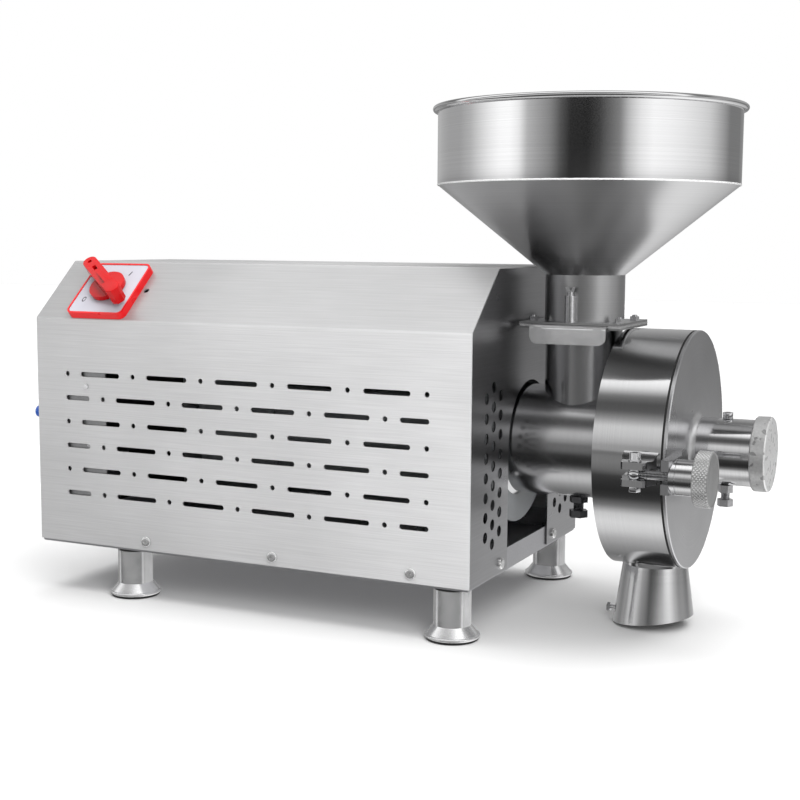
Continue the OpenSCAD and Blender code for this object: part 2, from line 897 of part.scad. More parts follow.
// Outline of the handle: a long tail for a padlock and a broad pointer
module grip_outline() {
    polygon([[-tail_l + tail_r, -tail_r], [0, -grip_w / 2], [pointer_l - grip_w / 3, -pointer_w / 2],
             [pointer_l, -pointer_w / 4], [pointer_l, pointer_w / 4],
             [pointer_l - grip_w / 3, pointer_w / 2], [0, grip_w / 2], [-tail_l + tail_r, tail_r]]);
    translate([-tail_l + tail_r, 0]) circle(tail_r);
}

module switch_handle() {
    base_z = plate_t + seat;
    grip_z = base_z + dial_t;
    color("crimson") in_frame() on_switch() rotate([0, 0, handle_turn]) difference() {
        union() {
            along_z(base_z, grip_z) circle(dial_r);
            along_z(grip_z, grip_z + grip_h) grip_outline();
            along_z(grip_z + grip_h, grip_z + pointer_h) intersection() {
                grip_outline();
                translate([pointer_in, -pointer_w]) square([pointer_l, 2 * pointer_w]);
            }
            rotate([90, 0, 0]) linear_extrude(grip_web_t, center = true)
                polygon([[-pointer_in / 2, grip_z + grip_h], [pointer_in, grip_z + pointer_h],
                         [pointer_in + over, grip_z + grip_h]]);
        }
        rod_z(0, base_z + dial_t + run_fit, spindle_r + run_fit);
        translate([-tail_l + tail_r, 0, 0]) rod_z(0, grip_z + grip_h + over, padlock_hole_r);
        translate([-tail_l + 3 * tail_r, 0, grip_z + grip_h / 2])
            linear_extrude(grip_h) square([tail_r, tail_r / 2], center = true);
    }
}

// Motor

// Finned shell, with the tapped ends of its bolt holes
module motor_shell() {
    inner_r = motor_r - fin_h - shell_wall;
    color("darkgray") in_frame() difference() {
        along_x(shell_x0, bell_x1) translate([0, shaft_z]) {
            difference() {
                circle(motor_r - fin_h);
                circle(inner_r);
            }
            for (i = [0 : fin_count - 1]) rotate((i + 1 / 2) * 360 / fin_count)
                translate([motor_r - fin_h - fin_t, -fin_t / 2]) square([fin_h + fin_t, fin_t]);
        }
        tie_places() {
            rod_x(bell_x1 - tie_thread_l, bell_x1 + over, m5_r + run_fit);
            rod_x(shell_x0 - over, shell_x0 + tie_thread_l, m5_r + run_fit);
        }
    }
}

module stator_core() {
    low_r = core_bore_r + winding_in;
    high_r = core_r - winding_in;
    round = (high_r - low_r) / 4;
    color("saddlebrown") in_frame() turned(
        [[core_bore_r, core_x0], [low_r, core_x0], [low_r, core_x0 - winding_l + round],
         [low_r + round, core_x0 - winding_l], [high_r - round, core_x0 - winding_l],
         [high_r, core_x0 - winding_l + round], [high_r, core_x0], [core_r, core_x0],
         [core_r, core_x1], [high_r, core_x1], [high_r, core_x1 + winding_l - round],
         [high_r - round, core_x1 + winding_l], [low_r + round, core_x1 + winding_l],
         [low_r, core_x1 + winding_l - round], [low_r, core_x1], [core_bore_r, core_x1]]);
}

// One end bell: its outer face at the station face, its open side towards side
module end_bell(face, side) {
    hub_r = bearing_r + seat_wall;
    turned([for (p = [
        [shaft_r + bell_hole_slack, 0], [motor_r, 0], [motor_r, bell_l],
        [motor_r - bell_wall, bell_l], [motor_r - bell_wall, bell_flange_t],
        [hub_r, bell_flange_t], [hub_r, bearing_lip + bearing_w + fit],
        [bearing_r + run_fit, bearing_lip + bearing_w + fit], [bearing_r + run_fit, bearing_lip],
        [shaft_r + bell_hole_slack, bearing_lip]]) [p[0], face + side * p[1]]]);
}

module tie_places() {
    for (i = [0 : 3]) translate([0, 0, shaft_z]) rotate([45 + 90 * i, 0, 0])
        translate([0, 0, motor_r - fin_h - shell_wall / 2]) children();
}

module front_bell() {
    color("gray") in_frame() difference() {
        end_bell(barrel_x0, -1);
        tie_places() rod_x(bell_x1, barrel_x0 + over, m5_r + hole_slack);
    }
}

module rear_bell() {
    color("gray") in_frame() difference() {
        end_bell(rear_x0, 1);
        tie_places() rod_x(rear_x0 - over, rear_x0 + bell_l, m5_r + hole_slack);
    }
}

// Bolts through the bells into the ends of the shell
module motor_bolts() {
    color("silver") in_frame() tie_places() {
        hex_x(barrel_x0, barrel_x0 + m6_head_h, m6_flat);
        rod_x(bell_x1 - tie_thread_l, barrel_x0, m5_r);
        hex_x(rear_x0 - m6_head_h, rear_x0, m6_flat);
        rod_x(rear_x0, shell_x0 + tie_thread_l, m5_r);
    }
}

module motor_bearings() {
    color("silver") in_frame() for (x0 = [barrel_x0 - bearing_lip - bearing_w, rear_x0 + bearing_lip])
        ring_x(x0, x0 + bearing_w, bearing_r, shaft_r + run_fit);
}

module fan_cowl() {
    outer_r = motor_r + seat + cowl_t;
    color("darkslategray") in_frame() difference() {
        turned([[0, cowl_x0], [outer_r - cowl_t, cowl_x0], [outer_r, cowl_x0 + cowl_t],
                [outer_r, cowl_x0 + cowl_l], [outer_r - cowl_t, cowl_x0 + cowl_l],
                [outer_r - cowl_t, cowl_x0 + cowl_t], [0, cowl_x0 + cowl_t]]);
        along_x(cowl_x0 - over, cowl_x0 + cowl_t + over) translate([0, shaft_z])
            for (i = [0 : grille_holes - 1], n = [0 : len(grille_shares) - 1])
                rotate(i * 360 / grille_holes + n * grille_turn)
                    translate([motor_r * grille_shares[n], 0]) circle(grille_hole_r);
    }
}

module cooling_fan() {
    hub_r = shaft_end_r + 2 * fan_blade_t;
    blade_z = shaft_end_r + fan_blade_t;
    color("black") in_frame() {
        ring_x(fan_x0, fan_x1, hub_r, shaft_end_r + run_fit);
        ring_x(fan_x1 - fan_blade_t, fan_x1, fan_r, blade_z);
        translate([0, 0, shaft_z]) for (i = [0 : fan_blades - 1]) rotate([i * 360 / fan_blades, 0, 0])
            translate([fan_x0, -fan_blade_t / 2, blade_z])
                cube([fan_w - fan_blade_t / 2, fan_blade_t, fan_r - fan_blade_t - blade_z]);
    }
}

module rod_shaft(x0, x1, r) {
    translate([0, 0, shaft_z]) rod_x(x0, x1, r);
}

// Two saddles on the pan, each with its foot
module motor_cradle() {
    foot_z = pan_z + pan_t;
    saddle_a = asin(cradle_w / 2 / (motor_r + seat)) * saddle_share;
    saddle_h = shaft_z - motor_r * cos(saddle_a) - foot_z;
    color("dimgray") in_frame() for (x = [shell_x0 + cradle_in, bell_x1 - cradle_in - cradle_foot])
        difference() {
            translate([x, -cradle_w / 2, foot_z]) {
                cube([cradle_t, cradle_w, saddle_h]);
                cube([cradle_foot, cradle_w, cradle_t]);
            }
            rod_shaft(x - over, x + cradle_foot + over, motor_r + seat);
        }
}

// Shaft through the motor and the barrel to the rotating burr
module main_shaft() {
    color("silver") in_frame() turned(
        [[0, fan_x0], [shaft_end_r, fan_x0], [shaft_end_r, fan_x1], [shaft_r, fan_x1],
         [shaft_r, core_x0], [shaft_r + shaft_step, core_x0], [shaft_r + shaft_step, core_x1],
         [shaft_r, core_x1], [shaft_r, burr_x0], [shaft_end_r, burr_x0],
         [shaft_end_r, shaft_x1], [0, shaft_x1]]);
}

module rotor_core() {
    color("dimgray") in_frame()
        ring_x(core_x0, core_x1, core_bore_r - air_gap, shaft_r + shaft_step + run_fit);
}

// Feed barrel and screw

module at_hopper() {
    translate([hopper_x, 0, 0]) children();
}

module flange_bolt_places() {
    for (x = [-1, 1], y = [-1, 1]) translate([x * bolt_x, y * bolt_y, 0]) children();
}

// Square flange with its bolt holes, from z0 to z1, set back by front_in at the front
module square_flange(z0, z1, front_in) {
    difference() {
        translate([-flange_w / 2, -flange_w / 2 + front_in, z0])
            cube([flange_w, flange_w - front_in, z1 - z0]);
        flange_bolt_places() rod_z(z0 - over, z1 + over, m5_r + hole_slack);
    }
}

module feed_barrel() {
    color("silver") in_frame() difference() {
        union() {
            rod_shaft(barrel_x0, barrel_x1, barrel_r);
            turned([[0, barrel_x0], [barrel_r + weld_h, barrel_x0], [barrel_r, barrel_x0 + weld_h],
                    [0, barrel_x0 + weld_h]]);
            at_hopper() rod_z(shaft_z, guide_z0, tube_r);
            difference() {
                at_hopper() square_flange(inlet_z0, guide_z0, inlet_front_in);
                rod_shaft(drum_x0 - seat, drum_x0 + flange_w, drum_r + seat);
            }
        }
        rod_shaft(barrel_x0 + barrel_plate_t, barrel_x1 + over, barrel_r - barrel_wall);
        rod_shaft(barrel_x0 - over, barrel_x0 + barrel_plate_t + over, shaft_r + bell_hole_slack);
        at_hopper() rod_z(shaft_z, guide_z0 + over, tube_r - barrel_wall);
        translate([lock_out, 0, 0]) rod_z(shaft_z - barrel_r - over, shaft_z, m10_r + run_fit);
    }
}

// Lip seal behind the end plate of the barrel
module shaft_seal() {
    color("black") in_frame()
        ring_x(barrel_x0 + barrel_plate_t, barrel_x0 + barrel_plate_t + seal_t,
               seal_r, shaft_r + run_fit);
}

// Bolt with its lock nut under the barrel
module barrel_lock_bolt() {
    tip_z = shaft_z - barrel_r + barrel_wall;
    nut_z = shaft_z - barrel_r - m10_nut_h - seat;
    head_z = nut_z - nut_space - m10_head_h;
    color("dimgray") in_frame() translate([lock_out, 0, 0]) {
        rod_z(head_z, tip_z, m10_r);
        hex_z(nut_z, nut_z + m10_nut_h, m10_flat);
        hex_z(head_z, head_z + m10_head_h, m10_flat);
    }
}

// Feed screw: a hub with a left-hand flight, which carries the grain to the burrs
module feed_auger() {
    hub_x0 = barrel_x0 + barrel_plate_t + seal_t + seat;
    flight_x0 = hub_x0 + auger_t / 2;
    flight_l = burr_x0 - auger_clear - auger_t / 2 - flight_x0;
    inner_r = auger_hub_r - auger_sink;
    outer_r = barrel_r - barrel_wall - auger_gap;
    steps = auger_turns * auger_steps;
    points = [for (i = [0 : steps], corner = [[inner_r, -1], [outer_r, -1], [outer_r, 1], [inner_r, 1]])
        let (a = i * 360 / auger_steps)
        [flight_x0 + flight_l * i / steps + corner[1] * auger_t / 2,
         corner[0] * sin(a), corner[0] * cos(a)]];
    color("silver") in_frame() {
        ring_x(hub_x0, burr_x0 - seat, auger_hub_r, shaft_r + run_fit);
        translate([0, 0, shaft_z]) polyhedron(points, concat(
            [[0, 1, 2, 3]],
            [for (i = [0 : steps - 1], j = [0 : 3]) let (a = 4 * i + j, b = 4 * i + (j + 1) % 4)
                each [[a, a + 4, b], [b, a + 4, b + 4]]],
            [[for (j = [3 : -1 : 0]) 4 * steps + j]]));
    }
}

// Burrs

// Slanted teeth of one burr face, in Y and Z; lean is 1 or -1
module burr_teeth_shape(lean) {
    inner_w = 2 * PI * burr_land_r / burr_teeth * tooth_w_share;
    outer_w = 2 * PI * burr_r / burr_teeth * tooth_w_share;
    intersection() {
        difference() {
            circle(burr_r);
            circle(burr_land_r);
        }
        for (i = [0 : burr_teeth - 1]) rotate(i * 360 / burr_teeth)
            polygon([[burr_land_r - over, -inner_w / 2],
                     [burr_r + over, lean * tooth_skew - outer_w / 2],
                     [burr_r + over, lean * tooth_skew + outer_w / 2],
                     [burr_land_r - over, inner_w / 2]]);
    }
}

// Rotating burr: its windows let the grain through to the gap between the burrs
module rotating_burr() {
    color("dimgray") in_frame() {
        along_x(burr_x0, nut_x0) translate([0, shaft_z]) difference() {
            circle(burr_r);
            circle(shaft_end_r + run_fit);
            for (i = [0 : burr_windows - 1]) rotate(i * 360 / burr_windows)
                translate([burr_window_at, 0]) circle(burr_window_r);
        }
        along_x(nut_x0, burr_x1) translate([0, shaft_z]) burr_teeth_shape(1);
    }
}

module fixed_burr() {
    color("dimgray") in_frame() {
        along_x(fixed_x0 + tooth_h, quill_x0) translate([0, shaft_z]) difference() {
            circle(burr_r);
            circle(fixed_eye_r);
        }
        along_x(fixed_x0, fixed_x0 + tooth_h) translate([0, shaft_z]) burr_teeth_shape(-1);
    }
}

module burr_nut() {
    color("gray") in_frame() translate([0, 0, shaft_z]) difference() {
        hex_x(nut_x0, nut_x1, burr_nut_flat);
        rod_x(nut_x0 - over, nut_x1 + over, shaft_end_r + run_fit);
    }
}

// Grinding drum

module at_hinge() {
    translate([hinge_x, hinge_y, shaft_z - hinge_drop]) children();
}

// Ear for the clamp pin, as seen from above
module ear_outline() {
    root_y = drum_r - ear_sink + clamp_y;
    polygon([[-ear_left, -root_y], [-ear_left, -root_y - ear_bevel], [-ear_half_w, 0],
             [-ear_half_w, ear_cut - ear_out], [ear_cut - ear_half_w, -ear_out],
             [ear_half_w - ear_cut, -ear_out], [ear_half_w, ear_cut - ear_out],
             [ear_half_w, 0], [ear_right, -root_y - ear_bevel], [ear_right, -root_y]]);
}

module grinding_drum() {
    knuckle_z0 = knuckle_h / 2 + hinge_gap;
    ear_z = eye_t / 2 + eye_gap;
    color("silver") in_frame() difference() {
        union() {
            rod_shaft(drum_x0, drum_x1, drum_r);
            at_clamp() {
                along_z(-ear_z - ear_low_t, -ear_z) ear_outline();
                intersection() {
                    along_z(ear_z, ear_z + ear_high_t) ear_outline();
                    along_x(-ear_left - over, ear_right + over) polygon(
                        [[-ear_out - over, ear_z], [-clamp_y, ear_z], [-clamp_y, ear_z + ear_high_t],
                         [-drum_r - clamp_y, ear_z + ear_high_t], [ear_flat_l, ear_z + ear_front_t],
                         [-ear_out - over, ear_z + ear_front_t]]);
                }
            }
            at_hinge() for (side = [0, 1]) mirror([0, 0, side]) {
                rod_z(knuckle_z0, knuckle_z0 + knuckle_h, knuckle_r);
                translate([-knuckle_r, -hinge_out - hinge_sink, knuckle_z0])
                    cube([knuckle_r - gasket_t / 2, hinge_out + hinge_sink, knuckle_h]);
            }
        }
        rod_shaft(drum_x0 + drum_wall, drum_x1 + over, drum_r - drum_wall);
        rod_shaft(drum_x0 - over, drum_x0 + drum_wall + over, barrel_r + run_fit);
        translate([spout_x, 0, 0]) rod_z(shaft_z - drum_r - over, shaft_z, spout_top_r - spout_t);
        at_hinge() rod_z(-2 * knuckle_h, 2 * knuckle_h, hinge_pin_r + run_fit);
        at_clamp() rod_z(-eye_t - ear_low_t, eye_t + ear_high_t, pin_r + hole_slack);
    }
}

module drum_gasket() {
    color("black") in_frame()
        ring_x(drum_x1, gasket_x1, drum_r - gasket_in, drum_r - drum_wall);
}

module hinge_pin() {
    color("silver") in_frame() at_hinge() {
        rod_z(-hinge_pin_l / 2, hinge_pin_l / 2, hinge_pin_r);
        rod_z(hinge_pin_l / 2 - hinge_head_t, hinge_pin_l / 2, hinge_head_r);
    }
}

// Cover of the drum with its hinge knuckle and the fork for the clamp bolt
module drum_cover() {
    fork_z = clamp_z - fork_drop;
    root_y = -drum_r + fork_root_in;
    color("silver") in_frame() difference() {
        union() {
            turned([[0, gasket_x1], [drum_r, gasket_x1], [drum_r, cover_x1 - cover_bevel],
                    [drum_r - cover_bevel, cover_x1], [0, cover_x1]]);
            ring_x(gasket_x1 - register_h, cover_x1, drum_r - drum_wall - register_gap,
                   drum_r - drum_wall - register_gap - register_t);
            at_hinge() {
                rod_z(-knuckle_h / 2, knuckle_h / 2, knuckle_r);
                translate([gasket_t / 2, -hinge_out - strap_l, -knuckle_h / 2])
                    cube([strap_t, hinge_out + strap_l, knuckle_h]);
            }
            along_x(cover_x1, fork_x1) intersection() {
                translate([root_y, fork_z]) circle(fork_root_r);
                translate([-drum_r, fork_z - fork_root_r]) square(2 * fork_root_r);
            }
            along_x(fork_x1 - prong_t, fork_x1)
                translate([clamp_y - fork_tip, fork_z - fork_h / 2])
                    square([root_y - clamp_y + fork_tip, fork_h]);
        }
        rod_shaft(gasket_x1 - over, cover_x1 + over, quill_r + seat);
        at_hinge() rod_z(-knuckle_h, knuckle_h, hinge_pin_r + run_fit);
        along_x(fork_x1 - fork_t, fork_x1 + over) translate([clamp_y - fork_tip - over, clamp_z])
            fork_slot();
        difference() {
            translate([clamp_x + fork_face_r / 2, clamp_y - fork_tip - over, fork_z - fork_h])
                cube([fork_face_r, fork_tip + over, 2 * fork_h]);
            translate([clamp_x, clamp_y, fork_z - fork_h - over])
                cylinder(h = 2 * (fork_h + over), r = fork_face_r);
        }
    }
}

// Slot of the fork, from its tips to a round root
module fork_slot() {
    half = eye_rod_r + fork_gap;
    translate([0, -fork_drop / 2 - half]) square([fork_tip + over, 2 * half]);
    translate([fork_tip + over, -fork_drop / 2]) circle(half);
}

// Hollow weld round the foot of the nose
module nose_weld() {
    translate([0, 0, shaft_z]) rotate([0, 90, 0]) rotate_extrude() difference() {
        translate([nose_r - over, cover_x1]) square([nose_fillet + over - seat, nose_fillet]);
        translate([nose_r + nose_fillet, cover_x1 + nose_fillet]) circle(nose_fillet);
    }
}

// Nose on the cover: it guides the quill and carries the adjusting screw
module cover_nose() {
    color("silver") in_frame() difference() {
        union() {
            turned([[quill_r + run_fit, cover_x1], [nose_r, cover_x1], [nose_r, nose_x1],
                    [screw_r + run_fit, nose_x1], [screw_r + run_fit, nose_end],
                    [quill_r + run_fit, nose_end]]);
            nose_weld();
        }
        translate([guide_x, 0, 0]) {
            rod_z(shaft_z, shaft_z + nose_r + over, m5_r + run_fit);
            rod_z(shaft_z - nose_r - over, shaft_z, m8_r + run_fit);
        }
    }
}

// Quill: plate for the fixed burr on a hollow stem with a slot for the guide screw
module quill() {
    slot_x0 = guide_x - adjust_travel - m5_r - hole_slack;
    color("gray") in_frame() difference() {
        turned([[quill_eye_r, quill_x0], [quill_plate_r, quill_x0], [quill_plate_r, quill_x1],
                [quill_r, quill_x1], [quill_r, quill_end], [screw_r + run_fit, quill_end],
                [screw_r + run_fit, quill_end - quill_bore_l],
                [quill_eye_r, quill_end - quill_bore_l]]);
        translate([slot_x0, -m5_r - hole_slack, shaft_z + quill_r - quill_slot_h])
            cube([guide_x + m5_r + hole_slack - slot_x0, 2 * (m5_r + hole_slack),
                  quill_slot_h + over]);
    }
}

module adjust_screw() {
    flange_x1 = nose_end - seat;
    color("silver") in_frame() {
        rod_shaft(flange_x1 - screw_flange_t - screw_l, nose_x1 + seat, screw_r);
        rod_shaft(flange_x1 - screw_flange_t, flange_x1, screw_flange_r);
    }
}

module adjust_cap() {
    color("silver") in_frame() turned(
        [[0, nose_x1 + seat], [cap_r - cap_bevel, nose_x1 + seat], [cap_r, nose_x1 + seat + cap_bevel],
         [cap_r, cap_x1 - cap_bevel], [cap_r - cap_bevel, cap_x1], [0, cap_x1]]);
}

module guide_screw() {
    color("silver") in_frame() translate([guide_x, 0, 0]) {
        rod_z(shaft_z + quill_r - guide_tip_l, shaft_z + nose_r, m5_r);
        rod_z(shaft_z + nose_r, shaft_z + nose_r + m5_cap_h, m5_cap_r);
    }
}

// Bolt with its lock nut below the nose, which holds the quill
module quill_lock_bolt() {
    nut_z = shaft_z - nose_r - nut_gap - m8_nut_h;
    head_z = nut_z - lock_space - lock_head_h;
    color("silver") in_frame() translate([guide_x, 0, 0]) {
        rod_z(head_z, shaft_z - quill_r - seat, m8_r);
        hex_z(nut_z, nut_z + m8_nut_h, lock_nut_flat);
        hex_z(head_z, head_z + lock_head_h, m8_flat);
    }
}

// Clamp

module at_clamp() {
    translate([clamp_x, clamp_y, clamp_z]) children();
}

module clamp_eye_bolt() {
    color("silver") in_frame() at_clamp() difference() {
        union() {
            intersection() {
                sphere(eye_r);
                rod_z(-eye_t / 2, eye_t / 2, eye_r + over);
            }
            rod_x(0, knob_x1 - rod_end_t - clamp_x, eye_rod_r);
        }
        rod_z(-eye_t, eye_t, pin_r + run_fit);
    }
}

module clamp_pin() {
    low_z = -eye_t / 2 - eye_gap - ear_low_t;
    high_z = eye_t / 2 + eye_gap + ear_front_t;
    disc_z1 = high_z + clamp_disc_t;
    color("silver") in_frame() at_clamp() {
        rod_z(low_z - m6_nut_h, high_z, pin_r);
        rod_z(high_z, disc_z1, clamp_disc_r);
        rod_z(disc_z1, disc_z1 + clamp_screw_h, m6_cap_r);
        hex_z(low_z - m6_nut_h, low_z, m6_flat);
    }
}

// Washer whose outer half reaches back to the hollow face of the fork
module clamp_washer() {
    color("silver") in_frame() difference() {
        translate([0, clamp_y, clamp_z]) difference() {
            rod_x(washer_x0 - skirt_l, collar_x0, collar_r);
            translate([washer_x0 - skirt_l - over, 0, -2 * collar_r])
                cube([skirt_l + over, 2 * collar_r, 4 * collar_r]);
            rod_x(washer_x0 - skirt_l - over, collar_x0 + over, eye_rod_r + run_fit);
        }
        at_clamp() rod_z(-2 * collar_r, 2 * collar_r, eye_reach);
    }
}

module clamp_knob() {
    color("silver") in_frame() translate([0, clamp_y, clamp_z]) difference() {
        union() {
            rod_x(collar_x0, knob_x0, collar_r);
            translate([knob_x0, 0, 0]) rotate([0, 90, 0]) rotate_extrude() polygon(
                [[0, 0], [knob_r - knob_bevel, 0], [knob_r, knob_bevel], [knob_r, knob_t - knob_bevel],
                 [knob_r - knob_bevel, knob_t], [0, knob_t]]);
        }
        rod_x(collar_x0 - over, knob_x1 - rod_end_t + seat, eye_rod_r + run_fit);
    }
}

// Hopper and gate

module feed_hopper() {
    t = hopper_t;
    color("silver") in_frame() at_hopper() difference() {
        union() {
            rotate_extrude() {
                polygon([[neck_r - t, flange_z - flange_t], [neck_r, flange_z - flange_t],
                         [neck_r, neck_z], [band_r, band_z], [band_r, rim_z - bead_r],
                         [band_r - t, rim_z - bead_r], [band_r - t, band_z + t / 2],
                         [neck_r - t, neck_z + t / 2]]);
                translate([band_r + bead_r - t / 2, rim_z - bead_r]) circle(bead_r);
            }
            difference() {
                square_flange(flange_z - flange_t, flange_z, 0);
                rod_z(flange_z - flange_t - over, flange_z + over, neck_r - t / 2);
            }
        }
        translate([0, -sleeve_y, 0])
            rod_z(flange_z - flange_t - over, flange_z + over, m6_r + run_fit);
    }
}

module gate_plate() {
    front_y = -flange_w / 2 - lip_gap - gate_t;
    color("silver") in_frame() at_hopper() {
        translate([-gate_w / 2, front_y + lip_bend_r, gate_z0])
            cube([gate_w, gate_tail - front_y - lip_bend_r, gate_t]);
        along_x(-gate_w / 2, gate_w / 2) translate([front_y + lip_bend_r, gate_z1 - lip_bend_r])
            difference() {
                intersection() {
                    circle(lip_bend_r);
                    translate([-lip_bend_r, 0]) square(lip_bend_r);
                }
                circle(lip_bend_r - gate_t);
            }
        along_y(front_y, front_y + gate_t) {
            translate([-gate_w / 2, gate_z1 - lip_h + lip_r])
                square([gate_w, lip_h - lip_r - lip_bend_r]);
            translate([-gate_w / 2 + lip_r, gate_z1 - lip_h])
                square([gate_w - 2 * lip_r, lip_h - lip_bend_r]);
            for (side = [-1, 1])
                translate([side * (gate_w / 2 - lip_r), gate_z1 - lip_h + lip_r]) circle(lip_r);
        }
    }
}

// Strips between the flanges, on both sides of the gate
module gate_guides() {
    strip_x = gate_w / 2 + gate_slack;
    color("silver") in_frame() at_hopper() difference() {
        for (side = [0, 1]) mirror([side, 0, 0])
            translate([strip_x, -flange_w / 2 + inlet_front_in, guide_z0])
                cube([flange_w / 2 - strip_x, flange_w - inlet_front_in,
                      flange_z - flange_t - guide_z0]);
        flange_bolt_places() rod_z(guide_z0 - over, flange_z, m5_r + hole_slack);
    }
}

// Bolts of the flanges; the two on the drum side are tapped into the lower flange
module flange_bolts() {
    color("silver") in_frame() at_hopper() {
        flange_bolt_places() {
            hex_z(flange_z, flange_z + m5_nut_h, m5_flat);
            rod_z(inlet_z0, flange_z + m5_nut_h + bolt_show, m5_r);
        }
        for (y = [-1, 1]) translate([-bolt_x, y * bolt_y, 0]) {
            rod_z(inlet_z0 - m5_nut_h - over, inlet_z0, m5_r);
            hex_z(inlet_z0 - m5_nut_h, inlet_z0, m5_flat);
        }
    }
}

module gate_lock_sleeve() {
    color("silver") in_frame() at_hopper() translate([0, -sleeve_y, 0]) difference() {
        rod_z(flange_z, flange_z + sleeve_h, sleeve_r);
        rod_z(flange_z - over, flange_z + sleeve_h + over, m6_r + run_fit);
    }
}

// Wing screw that presses on the gate
module gate_lock_screw() {
    wing_z = flange_z + sleeve_h + wing_gap;
    color("silver") in_frame() at_hopper() translate([0, -sleeve_y, 0]) {
        rod_z(gate_z1 + seat, wing_z + wing_foot, m6_r);
        along_y(-wing_t / 2, wing_t / 2) polygon(
            [[-wing_foot, wing_z], [wing_foot, wing_z], [wing_l, wing_z + wing_h],
             [wing_l - wing_tip, wing_z + wing_h], [0, wing_z + wing_foot],
             [wing_tip - wing_l, wing_z + wing_h], [-wing_l, wing_z + wing_h]]);
    }
}

// Spout

// Cone of the spout from its mouth to its end in the drum wall, at the radius gap
module spout_cone(inset) {
    mouth_r = spout_mouth_r - inset;
    top_r = spout_top_r - inset;
    top_z = shaft_z - drum_r + spout_in;
    rotate_extrude() polygon([[0, 0], [mouth_r, 0], [top_r, shaft_z - drum_r], [top_r, top_z], [0, top_z]]);
}

module discharge_spout() {
    mouth_a = atan(spout_rise / (2 * spout_mouth_r));
    color("silver") in_frame() difference() {
        translate([spout_x, 0, 0]) difference() {
            spout_cone(0);
            spout_cone(spout_t);
            translate([-spout_mouth_r, 0, spout_clear]) rotate([0, -mouth_a, 0])
                translate([-spout_mouth_r, -2 * spout_mouth_r, -4 * spout_mouth_r])
                    cube(4 * spout_mouth_r);
            translate([0, 0, spout_bolt_up]) rod_x(-2 * spout_mouth_r, 0, m5_r + run_fit);
        }
        rod_shaft(drum_x0, drum_x1, drum_r + seat);
    }
}

module spout_bolt() {
    wall_x = spout_x - spout_mouth_r
        + (spout_mouth_r - spout_top_r) * spout_bolt_up / (shaft_z - drum_r);
    color("silver") in_frame() translate([0, 0, spout_bolt_up]) {
        rod_x(wall_x - spout_bolt_gap, wall_x + spout_bolt_l, m5_r);
        hex_x(wall_x - spout_bolt_gap - m5_head_h, wall_x - spout_bolt_gap, m5_flat);
    }
}

// Drawing

base_pan();
casing_cover();
drive_end_panel();
rear_end_panel();
cover_screws();
foot_front_drive();
foot_back_drive();
foot_front_rear();
foot_back_rear();
foot_pads();
foot_studs();
cable_gland();
capacitor_bracket();
bracket_screws();
capacitors();
switch_body();
switch_bezel();
switch_face();
switch_handle();
switch_screws();
motor_shell();
stator_core();
front_bell();
rear_bell();
fan_cowl();
motor_bearings();
motor_cradle();
motor_bolts();
main_shaft();
rotor_core();
cooling_fan();
feed_barrel();
shaft_seal();
barrel_lock_bolt();
feed_auger();
rotating_burr();
burr_nut();
grinding_drum();
drum_gasket();
drum_cover();
hinge_pin();
cover_nose();
quill();
fixed_burr();
adjust_screw();
adjust_cap();
guide_screw();
quill_lock_bolt();
clamp_eye_bolt();
clamp_pin();
clamp_washer();
clamp_knob();
feed_hopper();
gate_plate();
gate_guides();
flange_bolts();
gate_lock_sleeve();
gate_lock_screw();
discharge_spout();
spout_bolt();
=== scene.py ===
# Looks of the electric grain mill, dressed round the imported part. Metres; the frame is
# the part's own: X along the shaft to the grinding cover, Y to the back, Z up.
import json
import math

import bpy
from mathutils import Matrix, Vector


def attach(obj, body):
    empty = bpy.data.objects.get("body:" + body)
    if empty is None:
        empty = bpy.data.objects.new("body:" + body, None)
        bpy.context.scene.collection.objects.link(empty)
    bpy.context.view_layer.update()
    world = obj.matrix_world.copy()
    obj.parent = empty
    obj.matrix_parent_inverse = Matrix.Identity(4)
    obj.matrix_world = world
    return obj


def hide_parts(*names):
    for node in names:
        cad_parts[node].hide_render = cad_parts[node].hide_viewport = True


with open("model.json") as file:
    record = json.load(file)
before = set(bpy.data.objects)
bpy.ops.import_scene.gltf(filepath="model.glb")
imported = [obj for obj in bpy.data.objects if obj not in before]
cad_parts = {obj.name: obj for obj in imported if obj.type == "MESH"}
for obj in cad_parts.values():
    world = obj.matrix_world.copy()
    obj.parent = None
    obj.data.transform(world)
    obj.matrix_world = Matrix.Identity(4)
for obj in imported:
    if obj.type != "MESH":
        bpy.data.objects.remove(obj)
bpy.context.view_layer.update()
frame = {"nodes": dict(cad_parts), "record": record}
nodes = frame["nodes"]

# ---------------------------------------------------------------- places
SHAFT_Z = 0.174
DRIVE_END = 0.1378            # outer face of the drive end panel
CASING_LENGTH = 0.493
CASING_SIDE = 0.1545          # from the middle to the front or the back
PAN_Z = 0.05                  # underside of the base pan
FOLD_Z, TOP_Z = 0.2874, 0.3455  # lower and upper edge of the front slope
SLOPE = math.atan2(65, 58.1)  # of the front slope, from the upright
CLAMP_Y, CLAMP_Z = -0.132, 0.1687


def station(x):
    """A distance from the drive end panel, as an X of the frame."""
    return DRIVE_END + x


REAR_END = station(-CASING_LENGTH)
BARREL_BOLT_X = station(0.0529)
HOPPER_X = station(0.0546)
HOPPER_SEAM_Z = 0.4237        # where the cone meets the upright band
BARREL_END = station(0.1)     # where the barrel meets the drum
SPOUT_X = station(0.13185)
CLAMP_PIN_X = station(0.1456)
NOSE_ROOT = station(0.1733)   # where the nose stands on the cover's skirt
COLLAR_START = station(0.1839)
GUIDE_X = station(0.1973)     # of the two screws on the nose
KNOB_START, KNOB_END = station(0.2005), station(0.2142)
CAP_FACE = station(0.238)

# ---------------------------------------------------------------- materials


